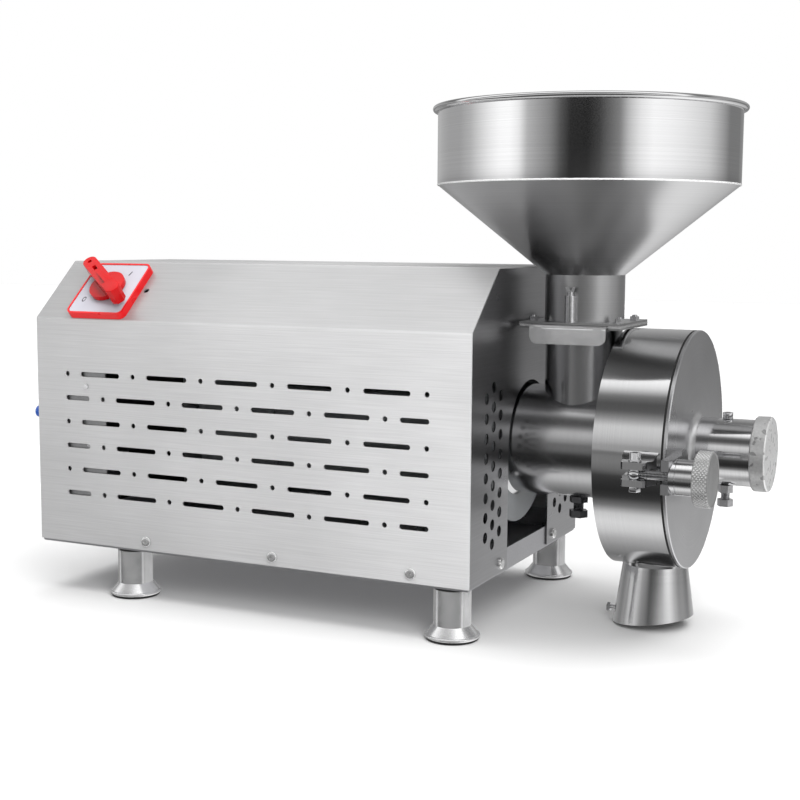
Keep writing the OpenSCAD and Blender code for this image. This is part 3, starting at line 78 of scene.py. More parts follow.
class Finish:
    """A Principled material whose detail is built up from noise in object space."""

    def __init__(self, name, colour, metallic=0.0, roughness=0.5, **sockets):
        self.material = bpy.data.materials.new(name)
        self.material.use_nodes = True
        self.tree = self.material.node_tree
        self.shader = self.tree.nodes["Principled BSDF"]
        self.colour = colour
        self.shader.inputs["Base Color"].default_value = (*colour, 1)
        self.shader.inputs["Metallic"].default_value = metallic
        self.shader.inputs["Roughness"].default_value = roughness
        for socket, value in sockets.items():
            self.shader.inputs[socket.replace("_", " ")].default_value = value
        self.place = self.tree.nodes.new("ShaderNodeTexCoord")
        self.height = None

    def add(self, kind, **settings):
        node = self.tree.nodes.new("ShaderNode" + kind)
        for name, value in settings.items():
            setattr(node, name, value)
        return node

    def join(self, start, end):
        self.tree.links.new(start, end)

    def noise(self, scale, stretch=(1, 1, 1), detail=4.0):
        """Noise in object space, stretched along an axis, as ground or brushed metal is."""
        move = self.add("Mapping", vector_type="POINT")
        move.inputs["Scale"].default_value = stretch
        self.join(self.place.outputs["Object"], move.inputs["Vector"])
        noise = self.add("TexNoise")
        noise.inputs["Scale"].default_value = scale
        noise.inputs["Detail"].default_value = detail
        self.join(move.outputs["Vector"], noise.inputs["Vector"])
        return noise.outputs["Fac"]

    def along(self, axis, point=(0, 0, 0)):
        """Distance from an axis through a point, and the place along that axis."""
        move = self.add("Mapping", vector_type="POINT")
        move.inputs["Location"].default_value = [-value for value in point]
        self.join(self.place.outputs["Object"], move.inputs["Vector"])
        parts = self.add("SeparateXYZ")
        self.join(move.outputs["Vector"], parts.inputs["Vector"])
        keep = "XYZ".index(axis)
        flat = self.add("CombineXYZ")
        for index in range(3):
            if index != keep:
                self.join(parts.outputs[index], flat.inputs[index])
        length = self.add("VectorMath", operation="LENGTH")
        self.join(flat.outputs["Vector"], length.inputs[0])
        return length.outputs["Value"], parts.outputs[keep]

    def rings(self, axis, point, scale):
        """Noise that runs in circles round an axis through a point, as turned metal has."""
        distance, place = self.along(axis, point)
        line = self.add("CombineXYZ")
        self.join(distance, line.inputs[0])
        self.join(place, line.inputs[1])
        noise = self.add("TexNoise")
        noise.inputs["Scale"].default_value = scale
        noise.inputs["Detail"].default_value = 3
        self.join(line.outputs["Vector"], noise.inputs["Vector"])
        return noise.outputs["Fac"]

    def spread(self, value, low, high, from_low=0.3, from_high=0.7):
        scale = self.add("MapRange")
        scale.inputs["From Min"].default_value = from_low
        scale.inputs["From Max"].default_value = from_high
        scale.inputs["To Min"].default_value = low
        scale.inputs["To Max"].default_value = high
        self.join(value, scale.inputs["Value"])
        return scale.outputs["Result"]

    def tint(self, value, dark, light, start=0.3, end=0.7):
        """Colour that varies from dark to light, as shares of the finish's own colour."""
        ramp = self.add("ValToRGB")
        for stop, share, place in zip(ramp.color_ramp.elements, (dark, light), (start, end)):
            stop.position = place
            stop.color = (*[min(1, c * share) for c in self.colour], 1)
        self.join(value, ramp.inputs["Fac"])
        self.join(ramp.outputs["Color"], self.shader.inputs["Base Color"])
        return self

    def shade(self, value, low, high, dark, light):
        """Darken the colour laid so far where value goes from low to high."""
        laid = self.shader.inputs["Base Color"].links[0].from_socket
        share = self.spread(value, dark, light, low, high)
        times = self.add("VectorMath", operation="SCALE")
        self.join(laid, times.inputs[0])
        self.join(share, times.inputs["Scale"])
        self.join(times.outputs["Vector"], self.shader.inputs["Base Color"])
        return self

    def roughen(self, value, low, high, start=0.3, end=0.7):
        self.join(self.spread(value, low, high, start, end), self.shader.inputs["Roughness"])
        return self

    def relief(self, value, distance, strength=1.0):
        bump = self.add("Bump")
        bump.inputs["Strength"].default_value = strength
        bump.inputs["Distance"].default_value = distance
        self.join(value, bump.inputs["Height"])
        if self.height is not None:
            self.join(self.height, bump.inputs["Normal"])
        self.height = bump.outputs["Normal"]
        self.join(self.height, self.shader.inputs["Normal"])
        return self


def brushed_sheet(name, colour, roughness, stretch, metallic=1.0, depth=0.00002):
    """Sheet with a straight grain and faint clouds from handling."""
    finish = Finish(name, colour, metallic, roughness)
    grain = finish.noise(1.0, stretch, 5)
    finish.tint(grain, 0.93, 1.05)
    finish.shade(finish.noise(6.0, (1, 1, 1), 3), 0.35, 0.65, 0.95, 1.04)
    finish.roughen(finish.noise(9.0, (1, 1, 1), 3), roughness * 0.9, roughness * 1.12)
    finish.relief(grain, depth, 0.35)
    return finish


def polished_round(name, colour, roughness, axis, point, scale=900, depth=0.000012):
    """Polished sheet with fine circles from the buffing wheel."""
    finish = Finish(name, colour, 1.0, roughness)
    line = finish.rings(axis, point, scale)
    finish.tint(line, 0.95, 1.03)
    finish.roughen(finish.noise(14.0, (1, 1, 1), 4), roughness * 0.85, roughness * 1.2)
    finish.relief(line, depth, 0.4)
    return finish


def plain_metal(name, colour, roughness, scale=220, depth=0.00003, metallic=1.0):
    finish = Finish(name, colour, metallic, roughness)
    grain = finish.noise(scale, (1, 1, 1), 5)
    finish.tint(grain, 0.86, 1.05)
    finish.roughen(finish.noise(40, (1, 1, 1), 3), roughness * 0.8, roughness * 1.25)
    finish.relief(grain, depth, 0.6)
    return finish


def moulded(name, colour, roughness, scale=900, depth=0.00002, **sockets):
    finish = Finish(name, colour, 0.0, roughness, **sockets)
    grain = finish.noise(scale, (1, 1, 1), 3)
    finish.tint(finish.noise(30, (1, 1, 1), 3), 0.93, 1.05)
    finish.roughen(finish.noise(60, (1, 1, 1), 3), roughness * 0.85, roughness * 1.2)
    finish.relief(grain, depth, 0.5)
    return finish


def threaded(name, colour, roughness, axis, point, radius, pitch):
    """A bolt's metal, with the turns of its thread where it is no thicker than radius, and
    painted shade in the thread's grooves.
    """
    finish = plain_metal(name, colour, roughness, 300, 0.00001)
    distance, place = finish.along(axis, point)
    turns = finish.add("Math", operation="MULTIPLY")
    turns.inputs[1].default_value = 2 * math.pi / pitch
    finish.join(place, turns.inputs[0])
    wave = finish.add("Math", operation="SINE")
    finish.join(turns.outputs[0], wave.inputs[0])
    shank = finish.spread(distance, 1, 0, radius + 0.0002, radius + 0.0005)
    height = finish.add("Math", operation="MULTIPLY")
    finish.join(wave.outputs[0], height.inputs[0])
    finish.join(shank, height.inputs[1])
    # Darker in the thread's grooves: painted shade.
    finish.shade(height.outputs[0], -1.0, -0.2, 0.35, 1.0)
    finish.relief(height.outputs[0], 0.0003, 1.0)
    return finish


STEEL = (0.67, 0.67, 0.675)

casing_steel = brushed_sheet("casing_steel", (0.72, 0.72, 0.725), 0.38, (14, 700, 900), 0.5)
# Darker towards the rear end and lighter towards the drive end: painted light, as if a lamp
# stood off the drive end.
casing_steel.shade(casing_steel.along("X")[1], REAR_END, DRIVE_END, 0.84, 1.12)
# Darker above the front fold: painted shade on the slopes and the top.
casing_steel.shade(casing_steel.along("Z")[1], FOLD_Z - 0.0006, FOLD_Z + 0.001, 1.0, 0.56)
# Lighter again on the flat top: painted light.
casing_steel.shade(casing_steel.along("Z")[1], TOP_Z - 0.0015, TOP_Z - 0.0003, 1.0, 1.3)
# Darker than the casing's steel: painted shade, for the drive end panel standing in shadow.
panel_steel_painted_shade = brushed_sheet("panel_steel_painted_shade", (0.43, 0.43, 0.44), 0.3, (700, 14, 900))
rear_steel = brushed_sheet("rear_steel", (0.66, 0.66, 0.67), 0.36, (700, 14, 900), 0.6)
pan_steel = brushed_sheet("pan_steel", (0.58, 0.58, 0.6), 0.38, (14, 500, 500))
bracket_zinc = brushed_sheet("bracket_zinc", (0.5, 0.5, 0.51), 0.5, (300, 14, 300))
hopper_steel = polished_round("hopper_steel", STEEL, 0.08, "Z", (HOPPER_X, 0, 0))
hopper_steel.roughen(hopper_steel.along("Z")[1], 0.3, 0.08, HOPPER_SEAM_Z - 0.0012,
                     HOPPER_SEAM_Z + 0.0008)
# Darker for a little above the seam: painted shade, for the dark reflection where the band
# curves in to the seam.
hopper_steel.shade(hopper_steel.along("Z")[1], HOPPER_SEAM_Z - 0.0001, HOPPER_SEAM_Z + 0.0123,
                   0.78, 1.0)
spout_steel = polished_round("spout_steel", STEEL, 0.15, "Z", (SPOUT_X, 0, 0))
drum_steel = polished_round("drum_steel", STEEL, 0.1, "X", (0, 0, SHAFT_Z))
# Darker than the other polished steel: painted shade, for the barrel's place under the hopper.
barrel_steel_painted_shade = polished_round("barrel_steel_painted_shade", (0.5, 0.5, 0.505), 0.2, "X", (0, 0, SHAFT_Z))
# Near-white steel of the hopper's seam bead: a painted highlight along the crease between cone
# and band.
seam_highlight_steel = plain_metal("seam_highlight_steel", (0.95, 0.95, 0.95), 0.3, 500, 0.00001, 0.5)
cover_steel = polished_round("cover_steel", (0.56, 0.56, 0.57), 0.3, "X", (0, 0, SHAFT_Z), 1400)
foot_steel = plain_metal("foot_steel", (0.74, 0.74, 0.745), 0.2, 60, 0.000005, 0.8)
nose_steel = polished_round("nose_steel", STEEL, 0.09, "X", (0, 0, SHAFT_Z))
nose_steel.roughen(nose_steel.along("X")[1], 0.4, 0.09, NOSE_ROOT, NOSE_ROOT + 0.002)
small_steel = plain_metal("small_steel", (0.72, 0.72, 0.73), 0.16, 300, 0.00001)
screw_zinc = plain_metal("screw_zinc", (0.8, 0.8, 0.8), 0.2, 300, 0.00001, 0.85)
cast_steel = plain_metal("cast_steel", (0.62, 0.62, 0.63), 0.26, 500, 0.00006)
dark_steel = plain_metal("dark_steel", (0.3, 0.3, 0.31), 0.35)
knob_aluminium = plain_metal("knob_aluminium", (0.58, 0.58, 0.58), 0.38, 900, 0.00003, 0.8)
# Darker in the knurl's valleys and lighter on its crests: painted shade and painted highlight
# that bring out the knurl. The end face inside the knurl comes out darker too.
knob_aluminium.shade(knob_aluminium.along("X", (0, CLAMP_Y, CLAMP_Z))[0], 0.0237, 0.0244,
                     0.6, 1.15)
collar_steel = polished_round("collar_steel", STEEL, 0.16, "X", (0, CLAMP_Y, CLAMP_Z))
cap_aluminium = plain_metal("cap_aluminium", (0.62, 0.62, 0.62), 0.4, 500, 0.00004, 0.75)
# The face lighter and the side darker: painted light on the face.
cap_aluminium.shade(cap_aluminium.along("X")[1], CAP_FACE - 0.0008, CAP_FACE, 0.82, 1.35)
cap_dents = cap_aluminium.spread(cap_aluminium.noise(170, (1, 1, 1), 1), 0, 1, 0.34, 0.38)
cap_aluminium.shade(cap_dents, 0, 1, 0.6, 1.0)
cap_aluminium.relief(cap_dents, 0.0004, 1.0)
barrel_bolt = threaded("barrel_bolt", (0.24, 0.24, 0.25), 0.3, "Z", (BARREL_BOLT_X, 0, 0),
                       0.005, 0.0015)
nose_bolt = threaded("nose_bolt", (0.72, 0.72, 0.73), 0.16, "Z", (GUIDE_X, 0, 0), 0.004, 0.00125)
swing_bolt = threaded("swing_bolt", (0.72, 0.72, 0.73), 0.16, "X", (0, CLAMP_Y, CLAMP_Z),
                      0.004, 0.00125)
burr_iron = plain_metal("burr_iron", (0.16, 0.16, 0.165), 0.5)
copper_core = plain_metal("copper_core", (0.42, 0.2, 0.1), 0.45)
motor_paint = moulded("motor_paint", (0.24, 0.25, 0.26), 0.42, 400, 0.00006)
black_rubber = moulded("black_rubber", (0.012, 0.012, 0.012), 0.55, 700, 0.00005)
gauze_black = moulded("gauze_black", (0.015, 0.015, 0.015), 0.7, 1500, 0.0001)
black_plastic = moulded("black_plastic", (0.025, 0.025, 0.026), 0.4)
can_plastic = moulded("can_plastic", (0.08, 0.08, 0.085), 0.4)
red_plastic = moulded("red_plastic", (0.62, 0.005, 0.008), 0.3, 1200, 0.000008,
                      Specular_IOR_Level=0.35)
handle_red = moulded("handle_red", (0.46, 0.0015, 0.003), 0.16, 1200, 0.000006,
                     Specular_IOR_Level=0.25)
face_plastic = moulded("face_plastic", (0.42, 0.42, 0.47), 0.34)
mark_paint = moulded("mark_paint", (0.03, 0.03, 0.035), 0.4)
blue_plastic = moulded("blue_plastic", (0.02, 0.1, 0.45), 0.3)

node_finishes = {
    casing_steel: ["casing_cover"],
    panel_steel_painted_shade: ["drive_end_panel"],
    rear_steel: ["rear_end_panel"],
    pan_steel: ["base_pan"],
    bracket_zinc: ["capacitor_bracket"],
    hopper_steel: ["feed_hopper"],
    spout_steel: ["discharge_spout"],
    drum_steel: ["grinding_drum"],
    barrel_steel_painted_shade: ["feed_barrel"],
    cover_steel: ["drum_cover"],
    nose_steel: ["cover_nose"],
    foot_steel: ["foot_front_drive", "foot_back_drive", "foot_front_rear", "foot_back_rear",
                 "gate_plate", "gate_guides"],
    small_steel: ["bracket_screws", "switch_screws", "clamp_washer", "flange_bolts",
                  "gate_lock_sleeve", "gate_lock_screw", "hinge_pin",
                  "motor_bolts", "spout_bolt", "cover_screws",
                  "clamp_pin", "guide_screw"],
    knob_aluminium: ["clamp_knob"],
    cap_aluminium: ["adjust_cap"],
    barrel_bolt: ["barrel_lock_bolt"],
    nose_bolt: ["quill_lock_bolt"],
    swing_bolt: ["clamp_eye_bolt"],
    dark_steel: ["foot_studs", "burr_nut", "quill", "adjust_screw",
                 "feed_auger", "main_shaft", "motor_bearings"],
    burr_iron: ["rotating_burr", "fixed_burr"],
    copper_core: ["stator_core", "rotor_core"],
    motor_paint: ["motor_shell", "front_bell", "rear_bell", "fan_cowl", "motor_cradle"],
    black_rubber: ["foot_pads", "drum_gasket", "shaft_seal"],
    black_plastic: ["switch_body", "cooling_fan"],
    can_plastic: ["capacitors"],
    red_plastic: ["switch_bezel"],
    handle_red: ["switch_handle"],
    face_plastic: ["switch_face"],
    blue_plastic: ["cable_gland"],
}
for finish, names in node_finishes.items():
    for name in names:
        mesh = nodes[name].data
        mesh.materials.clear()
        mesh.materials.append(finish.material)

# ---------------------------------------------------------------- shaping by hand


def only(piece):
    if bpy.context.mode != "OBJECT":
        bpy.ops.object.mode_set(mode="OBJECT")
    bpy.ops.object.select_all(action="DESELECT")
    piece.select_set(True)
    bpy.context.view_layer.objects.active = piece


def new_piece(name, *finishes):
    """Name the primitive just added and put its place in its mesh."""
    piece = bpy.context.object
    only(piece)
    bpy.ops.object.transform_apply(location=True, rotation=True, scale=True)
    piece.name = name
    piece.data.materials.clear()
    for finish in finishes:
        piece.data.materials.append(finish.material)
    return piece


def choose(piece, kind, test):
    """Enter edit mode with the vertices, edges or faces selected that pass the test."""
    only(piece)
    bpy.ops.object.mode_set(mode="EDIT")
    bpy.ops.mesh.select_mode(type=kind)
    bpy.ops.mesh.select_all(action="DESELECT")
    bpy.ops.object.mode_set(mode="OBJECT")
    mesh = piece.data
    if kind == "FACE":
        for face in mesh.polygons:
            face.select = test(face.center, face.normal)
    elif kind == "EDGE":
        for edge in mesh.edges:
            start, end = (mesh.vertices[i].co for i in edge.vertices)
            edge.select = test((start + end) / 2, end - start)
    else:
        for vertex in mesh.vertices:
            vertex.select = test(vertex.co)
    bpy.ops.object.mode_set(mode="EDIT")


def leave(piece, angle=35):
    """Leave edit mode and round the shading of all edges flatter than the angle."""
    only(piece)
    bpy.ops.object.shade_smooth_by_angle(angle=math.radians(angle))


def apply(piece, kind, **settings):
    only(piece)
    modifier = piece.modifiers.new(kind.lower(), kind)
    for name, value in settings.items():
        setattr(modifier, name, value)
    bpy.ops.object.modifier_apply(modifier=modifier.name)


def soften(piece, width, segments=3, angle=30):
    apply(piece, "BEVEL", width=width, segments=segments, limit_method="ANGLE",
          angle_limit=math.radians(angle), harden_normals=False)


def cut(piece, tool):
    apply(piece, "BOOLEAN", operation="DIFFERENCE", object=tool, solver="EXACT")
    bpy.data.objects.remove(tool)


def copy_of(node, name, finish):
    """A copy of a node's mesh, merged and ready to be shaped."""
    piece = nodes[node].copy()
    piece.data = nodes[node].data.copy()
    piece.name = name
    bpy.context.scene.collection.objects.link(piece)
    choose(piece, "FACE", lambda middle, normal: True)
    bpy.ops.mesh.remove_doubles(threshold=0.000002)
    bpy.ops.mesh.dissolve_limited(angle_limit=math.radians(0.5))
    bpy.ops.object.mode_set(mode="OBJECT")
    piece.data.materials.clear()
    piece.data.materials.append(finish.material)
    return piece


def stamp(piece, name, place, body):
    """Another one of a piece, riding on a body at the place that the matrix gives."""
    twin = piece.copy()
    twin.data = piece.data.copy()
    twin.name = name
    bpy.context.scene.collection.objects.link(twin)
    twin.data.transform(place)
    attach(twin, body)
    return twin


def turned_to(point, normal, spin=0.0):
    """The matrix that stands a piece made on +Z at a point, facing along a normal."""
    way = Vector(normal).to_track_quat("Z", "Y").to_matrix().to_4x4()
    return Matrix.Translation(Vector(point)) @ way @ Matrix.Rotation(spin, 4, "Z")


bodies = {node: body for body, names in frame["record"]["behaviour"]["bodies"].items()
          for node in names}

# ---------------------------------------------------------------- clamp knob


def knurled_knob():
    """Head with a diamond knurl on a smooth collar."""
    radius, rim_radius, collar_radius, rod_radius = 0.0245, 0.0234, 0.0158, 0.0042
    around, rows = 84, 9
    valley, rim = 0.972, 0.955    # as shares of the radius
    width = KNOB_END - KNOB_START
    pitch = width / rows
    centre = Vector(((KNOB_START + KNOB_END) / 2, CLAMP_Y, CLAMP_Z))
    bpy.ops.mesh.primitive_cylinder_add(vertices=around, radius=radius, depth=width,
                                        location=centre, rotation=(0, math.pi / 2, 0))
    knob = new_piece("knurled_knob", knob_aluminium, collar_steel)
    choose(knob, "EDGE", lambda middle, way: abs(way.x) > 0.9 * width)
    bpy.ops.mesh.subdivide(number_cuts=rows - 1)

    def place_of(point):
        row = round((point.x - KNOB_START) / pitch)
        turn = math.atan2(point.z - CLAMP_Z, point.y - CLAMP_Y) / (2 * math.pi) * around
        return row, round(turn)

    choose(knob, "VERT", lambda point: 0 < place_of(point)[0] < rows
           and sum(place_of(point)) % 2 == 0)
    bpy.ops.transform.resize(value=(1, valley, valley), center_override=centre)
    choose(knob, "FACE", lambda middle, normal: abs(normal.x) < 0.5)
    bpy.ops.mesh.quads_convert_to_tris(quad_method="SHORTEST_DIAGONAL")
    choose(knob, "VERT", lambda point: place_of(point)[0] in (0, rows))
    bpy.ops.transform.resize(value=(1, rim, rim), center_override=centre)
    choose(knob, "FACE", lambda middle, normal: normal.x > 0.9)
    bpy.ops.mesh.inset(thickness=0.0012)
    bpy.ops.transform.translate(value=(-0.0004, 0, 0))
    choose(knob, "FACE", lambda middle, normal: normal.x < -0.9)
    bpy.ops.mesh.inset(thickness=rim_radius - collar_radius)
    bpy.ops.mesh.extrude_region_move(
        TRANSFORM_OT_translate={"value": (COLLAR_START - KNOB_START, 0, 0)})
    bpy.ops.mesh.inset(thickness=collar_radius - rod_radius)
    bpy.ops.mesh.extrude_region_move(TRANSFORM_OT_translate={"value": (0.012, 0, 0)})
    choose(knob, "EDGE", lambda middle, way: abs(middle.x - COLLAR_START) < 0.00001
           and math.hypot(middle.y - CLAMP_Y, middle.z - CLAMP_Z) > 0.95 * collar_radius)
    bpy.ops.mesh.bevel(offset=0.0006, segments=3)
    leave(knob, 10)
    for face in knob.data.polygons:
        if face.center.x < KNOB_START - 0.00001:
            face.material_index = 1
    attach(knob, bodies["clamp_knob"])
    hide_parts("clamp_knob")


# ---------------------------------------------------------------- screws of the casing


def pan_head():
    """A domed head with a cross recess, on +Z."""
    height = 0.003
    bpy.ops.mesh.primitive_cylinder_add(vertices=36, radius=0.0056, depth=height,
                                        location=(0, 0, height / 2))
    head = new_piece("screw_head", screw_zinc)
    choose(head, "EDGE", lambda middle, way: middle.z > 0.95 * height)
    bpy.ops.mesh.bevel(offset=0.0024, segments=5, profile=0.6)
    bpy.ops.object.mode_set(mode="OBJECT")
    for turn in (0, math.pi / 2):
        bpy.ops.mesh.primitive_cube_add(size=1, location=(0, 0, 0.0028), rotation=(0, 0, turn))
        bpy.context.object.scale = (0.0058, 0.0012, 0.0026)
        blade = new_piece("recess", screw_zinc)
        choose(blade, "VERT", lambda point: point.z < 0.0028)
        bpy.ops.transform.resize(value=(0.45, 0.45, 1), center_override=(0, 0, height / 2))
        bpy.ops.object.mode_set(mode="OBJECT")
        cut(head, blade)
    leave(head, 32)
    return head


def casing_screws():
    """Three screws low on each long side and two on each end."""
    first, step, side_z = -0.0589, -0.1492, PAN_Z + 0.0117
    end_y, end_z = 0.0768, PAN_Z + 0.0112
    seats = [((station(first + step * index), side * CASING_SIDE, side_z), (0, side, 0))
             for index in range(3) for side in (-1, 1)]
    seats += [((x, side * end_y, end_z), (way, 0, 0))
              for x, way in ((DRIVE_END, 1), (REAR_END, -1)) for side in (-1, 1)]
    head = pan_head()
    for index, (point, normal) in enumerate(seats):
        twin = stamp(head, "casing_screw_%d" % index, turned_to(point, normal, 0.5 * index),
                     bodies["cover_screws"])
        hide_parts("cover_screws")
    bpy.data.objects.remove(head)


# ---------------------------------------------------------------- socket screws


def socket_head(node, name, top, radius, depth):
    """An upright cap screw with a hexagon socket cut in its top and its edges rounded."""
    piece = copy_of(node, name, small_steel)
    soften(piece, 0.0005, 2, 40)
    bpy.ops.mesh.primitive_cylinder_add(vertices=6, radius=radius, depth=2 * depth,
                                        location=(0, 0, 0))
    socket = new_piece("socket", small_steel)
    socket.data.transform(turned_to(top, (0, 0, 1), 0.2))
    cut(piece, socket)
    leave(piece, 30)
    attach(piece, bodies[node])
    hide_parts(node)


# ---------------------------------------------------------------- switch


def on_slope(point):
    """A point of the switch plate, in millimetres from its middle, in the frame."""
    from_rear, up_slope = 0.0759, 0.0384
    tilt = Matrix.Rotation(math.pi / 2 - SLOPE, 4, "X")
    base = Vector((REAR_END + from_rear, -CASING_SIDE + up_slope * math.sin(SLOPE),
                   FOLD_Z + up_slope * math.cos(SLOPE)))
    return Matrix.Translation(base) @ tilt @ Matrix.Translation(Vector(point) / 1000)


def switch_pieces():
    """The handle with its edges rounded, and a nought and a bar on the face."""
    face_height = 7.55
    handle = copy_of("switch_handle", "handle_grip", handle_red)
    soften(handle, 0.0014, 4, 28)
    leave(handle, 40)
    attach(handle, bodies["switch_handle"])
    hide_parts("switch_handle")

    bpy.ops.mesh.primitive_torus_add(major_radius=0.0026, minor_radius=0.00055,
                                     major_segments=40, minor_segments=8)
    bpy.context.object.scale = (0.72, 1.15, 0.3)
    nought = new_piece("mark_off", mark_paint)
    nought.data.transform(on_slope((-22, -17, face_height)))
    leave(nought)
    bpy.ops.mesh.primitive_cube_add(size=1)
    bpy.context.object.scale = (0.0011, 0.0062, 0.0003)
    bar = new_piece("mark_on", mark_paint)
    choose(bar, "EDGE", lambda middle, way: abs(way.z) > 0.0002)
    bpy.ops.mesh.bevel(offset=0.0004, segments=3)
    bpy.ops.object.mode_set(mode="OBJECT")
    bar.data.transform(on_slope((15.5, 22.4, face_height)) @ Matrix.Rotation(-0.3, 4, "Z"))
    leave(bar)
    for mark in (nought, bar):
        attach(mark, bodies["switch_face"])


# ---------------------------------------------------------------- weld beads and dust screen


def bead(name, finish, axis, centre, radius, width, ripple, body):
    """A weld bead round a joint: a ring along X or Z with the ripple of its runs."""
    count = max(24, int(2 * math.pi * radius / ripple))
    bpy.ops.mesh.primitive_torus_add(major_radius=radius, minor_radius=width,
                                     major_segments=2 * count, minor_segments=8,
                                     location=centre,
                                     rotation=(0, math.pi / 2, 0) if axis == "X" else (0, 0, 0))
    ring = new_piece(name, finish)
    middle = Vector(centre)

    def turn(point):
        away = point - middle
        pair = (away.z, away.y) if axis == "X" else (away.x, away.y)
        return round(math.atan2(*pair) / math.pi * count)

    choose(ring, "VERT", lambda point: turn(point) % 2 == 0)
    share = 1 - 0.25 * width / radius
    flat = (1, share, share) if axis == "X" else (share, share, 1)
    bpy.ops.transform.resize(value=flat, center_override=middle)
    leave(ring, 60)
    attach(ring, body)


def dust_screen():
    """Fine dark gauze in its folded edge, behind the holes of the rear end panel."""
    width, low, high = 0.216, PAN_Z + 0.012, 0.305
    bpy.ops.mesh.primitive_plane_add(size=1, location=(REAR_END + 0.0025, 0, (low + high) / 2),
                                     rotation=(0, math.pi / 2, 0))
    bpy.context.object.scale = (high - low, width, 1)
    screen = new_piece("dust_screen", gauze_black)
    choose(screen, "FACE", lambda middle, normal: True)
    bpy.ops.mesh.inset(thickness=0.005)
    bpy.ops.mesh.extrude_region_move(TRANSFORM_OT_translate={"value": (0.0008, 0, 0)})
    bpy.ops.mesh.subdivide(number_cuts=3)
    leave(screen)
    apply(screen, "SOLIDIFY", thickness=0.0006, offset=0)
    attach(screen, bodies["rear_end_panel"])


# ---------------------------------------------------------------- make the pieces

knurled_knob()
casing_screws()
socket_head("clamp_pin", "clamp_screw", top=(CLAMP_PIN_X, CLAMP_Y, CLAMP_Z + 0.0189),
            radius=0.0027, depth=0.0032)
socket_head("guide_screw", "nose_screw", top=(GUIDE_X, 0, SHAFT_Z + 0.0374), radius=0.0024,
            depth=0.003)
switch_pieces()
dust_screen()
# The bead's near-white steel is a painted highlight along the seam.
bead("hopper_seam", seam_highlight_steel, "Z", (HOPPER_X, 0, HOPPER_SEAM_Z), radius=0.1445,
     width=0.0009, ripple=0.006, body=bodies["feed_hopper"])
bead("barrel_bead", cast_steel, "X", (BARREL_END, 0, SHAFT_Z), radius=0.0549, width=0.0016,
     ripple=0.0022, body=bodies["feed_barrel"])

# ---------------------------------------------------------------- floor, light and camera

bpy.ops.mesh.primitive_plane_add(size=14, location=(0, 0, -0.0002))
floor = bpy.context.object
floor.name = "floor"
floor.data.materials.append(Finish("pale_floor", (0.64, 0.64, 0.64), 0.0, 0.9).material)
floor.visible_glossy = False

CAMERA_YAW = math.radians(25.41)
CAMERA_PITCH = math.radians(6.69)
CAMERA_ROLL = math.radians(0.37)
CAMERA_PLACE = (0.6035, -1.2842, 0.3705)

camera_data = bpy.data.cameras.new("camera")
camera_data.sensor_width = 36
camera_data.lens = 61.51
camera_data.clip_start = 0.05
camera = bpy.data.objects.new("camera", camera_data)
bpy.context.scene.collection.objects.link(camera)
camera.location = CAMERA_PLACE
turn = (Matrix.Rotation(CAMERA_YAW, 3, "Z") @ Matrix.Rotation(math.pi / 2 - CAMERA_PITCH, 3, "X")
        @ Matrix.Rotation(CAMERA_ROLL, 3, "Z"))
camera.rotation_euler = turn.to_euler()
bpy.context.scene.camera = camera


def soft_light(name, place, target, width, height, power):
    data = bpy.data.lights.new(name, "AREA")
    data.shape = "RECTANGLE"
    data.size, data.size_y, data.energy = width, height, power
    lamp = bpy.data.objects.new(name, data)
    bpy.context.scene.collection.objects.link(lamp)
    lamp.location = place
    lamp.rotation_euler = (Vector(target) - Vector(place)).to_track_quat("-Z", "Y").to_euler()
    lamp.visible_glossy = False
    lamp.visible_camera = False


soft_light("key", (0.8, -1.0, 0.85), (-0.05, -0.1, 0.2), 0.7, 0.7, 14)
sky_data = bpy.data.lights.new("sky", "SUN")
sky_data.energy = 3.5
sky_data.angle = math.radians(70)
sky = bpy.data.objects.new("sky", sky_data)
bpy.context.scene.collection.objects.link(sky)
sky.location = (0, 0, 3)
sky.rotation_euler = (math.radians(-12), math.radians(4), 0)
sky.visible_glossy = False

# The studio round the mill: tall soft boxes at both sides of the camera, a dark gap
# behind it, a soft box overhead and a pale floor that falls off in front.
world = bpy.data.worlds.new("studio")
bpy.context.scene.world = world
world.use_nodes = True
studio = world.node_tree
studio.nodes.clear()


def studio_node(kind, **settings):
    node = studio.nodes.new("ShaderNode" + kind)
    for name, value in settings.items():
        setattr(node, name, value)
    return node


def studio_math(operation, first, second=None):
    node = studio_node("Math", operation=operation)
    for index, value in enumerate((first, second)):
        if value is None:
            continue
        if isinstance(value, (int, float)):
            node.inputs[index].default_value = value
        else:
            studio.links.new(value, node.inputs[index])
    return node.outputs[0]


BRIGHTEST = 1.5    # a ramp's colours end at 1, so they are shares of this


def studio_ramp(value, stops):
    """Brightness against an angle in degrees; stops are (angle, brightness)."""
    low, high = stops[0][0], stops[-1][0]
    share = studio_math("DIVIDE", studio_math("SUBTRACT", value, math.radians(low)),
                        math.radians(high - low))
    ramp = studio_node("ValToRGB")
    ramp.color_ramp.interpolation = "LINEAR"
    elements = ramp.color_ramp.elements
    for index, (angle, light) in enumerate(stops):
        place = (angle - low) / (high - low)
        stop = elements[index] if index < 2 else elements.new(place)
        stop.position = place
        stop.color = (*[light / BRIGHTEST] * 3, 1)
    studio.links.new(share, ramp.inputs["Fac"])
    return ramp.outputs["Color"]


def studio_mix(value, low, high, first, second):
    """The first light where value is below low, the second where it is above high."""
    share = studio_node("MapRange")
    share.interpolation_type = "SMOOTHSTEP"
    share.inputs["From Min"].default_value = low
    share.inputs["From Max"].default_value = high
    studio.links.new(value, share.inputs["Value"])
    blend = studio_node("Mix", data_type="RGBA")
    studio.links.new(share.outputs["Result"], blend.inputs[0])
    studio.links.new(first, blend.inputs[6])
    studio.links.new(second, blend.inputs[7])
    return blend.outputs[2]


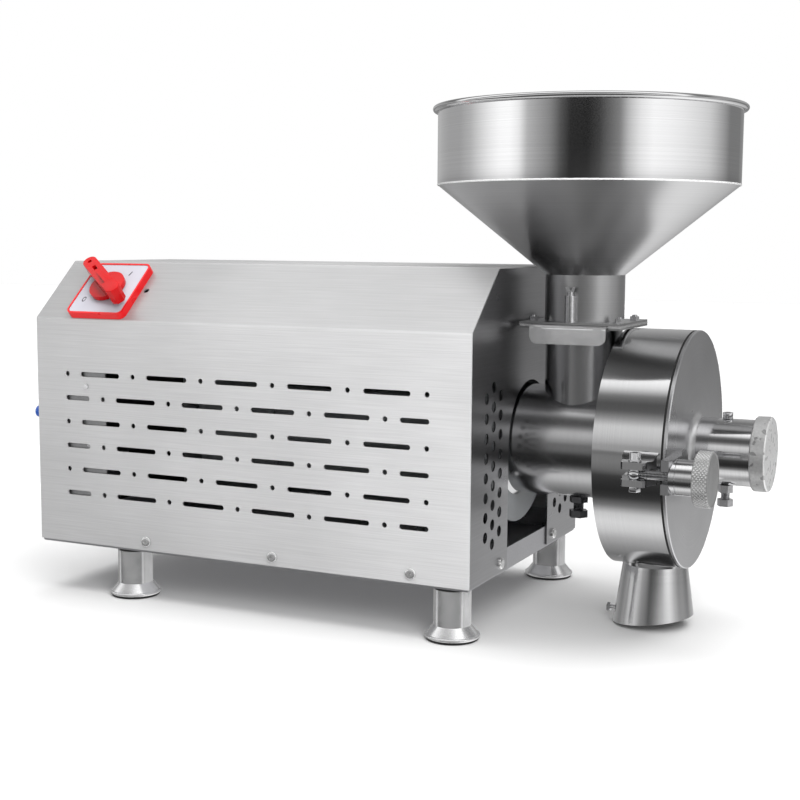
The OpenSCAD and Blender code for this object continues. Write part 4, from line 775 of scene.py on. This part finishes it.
direction = studio_node("TexCoord")
parts = studio_node("SeparateXYZ")
studio.links.new(direction.outputs["Generated"], parts.inputs["Vector"])
east, north, up = parts.outputs
right = studio_math("ADD", studio_math("MULTIPLY", east, math.cos(CAMERA_YAW)),
                    studio_math("MULTIPLY", north, math.sin(CAMERA_YAW)))
back = studio_math("SUBTRACT", studio_math("MULTIPLY", east, math.sin(CAMERA_YAW)),
                   studio_math("MULTIPLY", north, math.cos(CAMERA_YAW)))
bearing = studio_math("ARCTAN2", right, back)
rise = studio_math("ARCTAN2", up, studio_math("MULTIPLY", north, -1))
height = studio_math("ARCSINE", up)

# Seen in upright walls, bearing from behind the camera
round_the_room = studio_ramp(bearing, [
    (-180, 0.45), (-162, 0.55), (-136, 0.48), (-119, 0.49), (-106, 0.64), (-95, 0.94),
    (-85, 1.23), (-76, 1.44), (-67, 1.47), (-60, 1.25), (-53, 0.66), (-45, 0.5), (-36, 0.34),
    (-28, 0.12), (-21, 0.03), (-8, 0.02), (0, 0.06), (8, 0.18), (15, 0.3), (22, 0.77),
    (30, 1.16), (40, 1.4), (53, 1.33), (66, 1.2), (80, 1.04), (91, 0.89), (104, 0.57),
    (119, 0.26), (141, 0.24), (180, 0.45)])
# Seen in the neck and the feed tube, a little lower
below_the_room = studio_ramp(bearing, [
    (-180, 0.25), (-129, 0.25), (-104, 0.34), (-84, 0.9), (-67, 1.26), (-51, 0.32),
    (-36, 0.22), (-22, 0.12), (-8, 0.08), (6, 0.08), (21, 0.28), (36, 1.27), (51, 0.85),
    (68, 0.45), (88, 0.41), (112, 0.19), (180, 0.25)])
# Seen in the spout, between the two
across_the_room = studio_ramp(bearing, [
    (-180, 0.4), (-145, 0.31), (-116, 0.79), (-94, 0.87), (-75, 0.5), (-58, 0.3), (-42, 0.2),
    (-27, 0.1), (-11, 0.46), (4, 0.89), (19, 1.09), (35, 0.96), (52, 0.5), (71, 0.24),
    (93, 0.18), (130, 0.3), (180, 0.4)])
# Seen in the drum and the barrel, from the floor in front over the top to the back
over_the_top = studio_ramp(rise, [
    (-180, 0.5), (-150, 0.3), (-126, 0.23), (-108, 0.38), (-94, 0.58), (-82, 0.89), (-72, 1.0),
    (-62, 0.85), (-53, 0.25), (-44, 0.05), (-36, 0.03), (-22, 0.06), (-15, 0.22), (-5, 0.3),
    (2, 0.4), (10, 0.6), (17, 0.79), (25, 0.88), (33, 0.38), (40, 0.13), (48, 0.11), (56, 0.24),
    (65, 1.08), (74, 1.49), (93, 1.42), (104, 0.95), (117, 0.28), (132, 0.21), (155, 0.4),
    (180, 0.5)])
# Seen in the cone of the hopper
under_the_back = studio_ramp(height, [
    (-90, 0.04), (-80, 0.14), (-76, 0.34), (-71, 0.75), (-66, 1.17), (-60, 1.36), (-50, 1.43),
    (-40, 1.28), (-31, 1.05), (-20, 0.75), (-8, 0.5), (0, 0.45), (90, 0.45)])
# The cone looks down to the back and more to the east than the drum and the barrel do
down_to_the_back = studio_math("SUBTRACT", studio_math("MULTIPLY", north, 2), up)
behind = studio_mix(down_to_the_back, 0.35, 0.75, over_the_top, under_the_back)
behind = studio_mix(east, -0.24, -0.12, over_the_top, behind)


def layer(first, middle, half, rest):
    """The first light at heights round the middle one, the rest above and below."""
    soft_edge = 0.03
    away = studio_math("ABSOLUTE", studio_math("SUBTRACT", up, middle))
    return studio_mix(away, half, half + soft_edge, first, rest)


light_field = layer(below_the_room, -0.08, 0.035, behind)
light_field = layer(across_the_room, 0.0, 0.025, light_field)
light_field = layer(round_the_room, 0.08, 0.04, light_field)
shown = studio_node("Background")
shown.inputs["Color"].default_value = (1, 1, 1, 1)
shown.inputs["Strength"].default_value = 1.0
lit = studio_node("Background")
lit.inputs["Strength"].default_value = BRIGHTEST
studio.links.new(light_field, lit.inputs["Color"])
path = studio_node("LightPath")
choice = studio_node("MixShader")
studio.links.new(path.outputs["Is Camera Ray"], choice.inputs["Fac"])
studio.links.new(lit.outputs[0], choice.inputs[1])
studio.links.new(shown.outputs[0], choice.inputs[2])
output = studio_node("OutputWorld")
studio.links.new(choice.outputs[0], output.inputs["Surface"])

bpy.context.scene.view_settings.view_transform = "Standard"
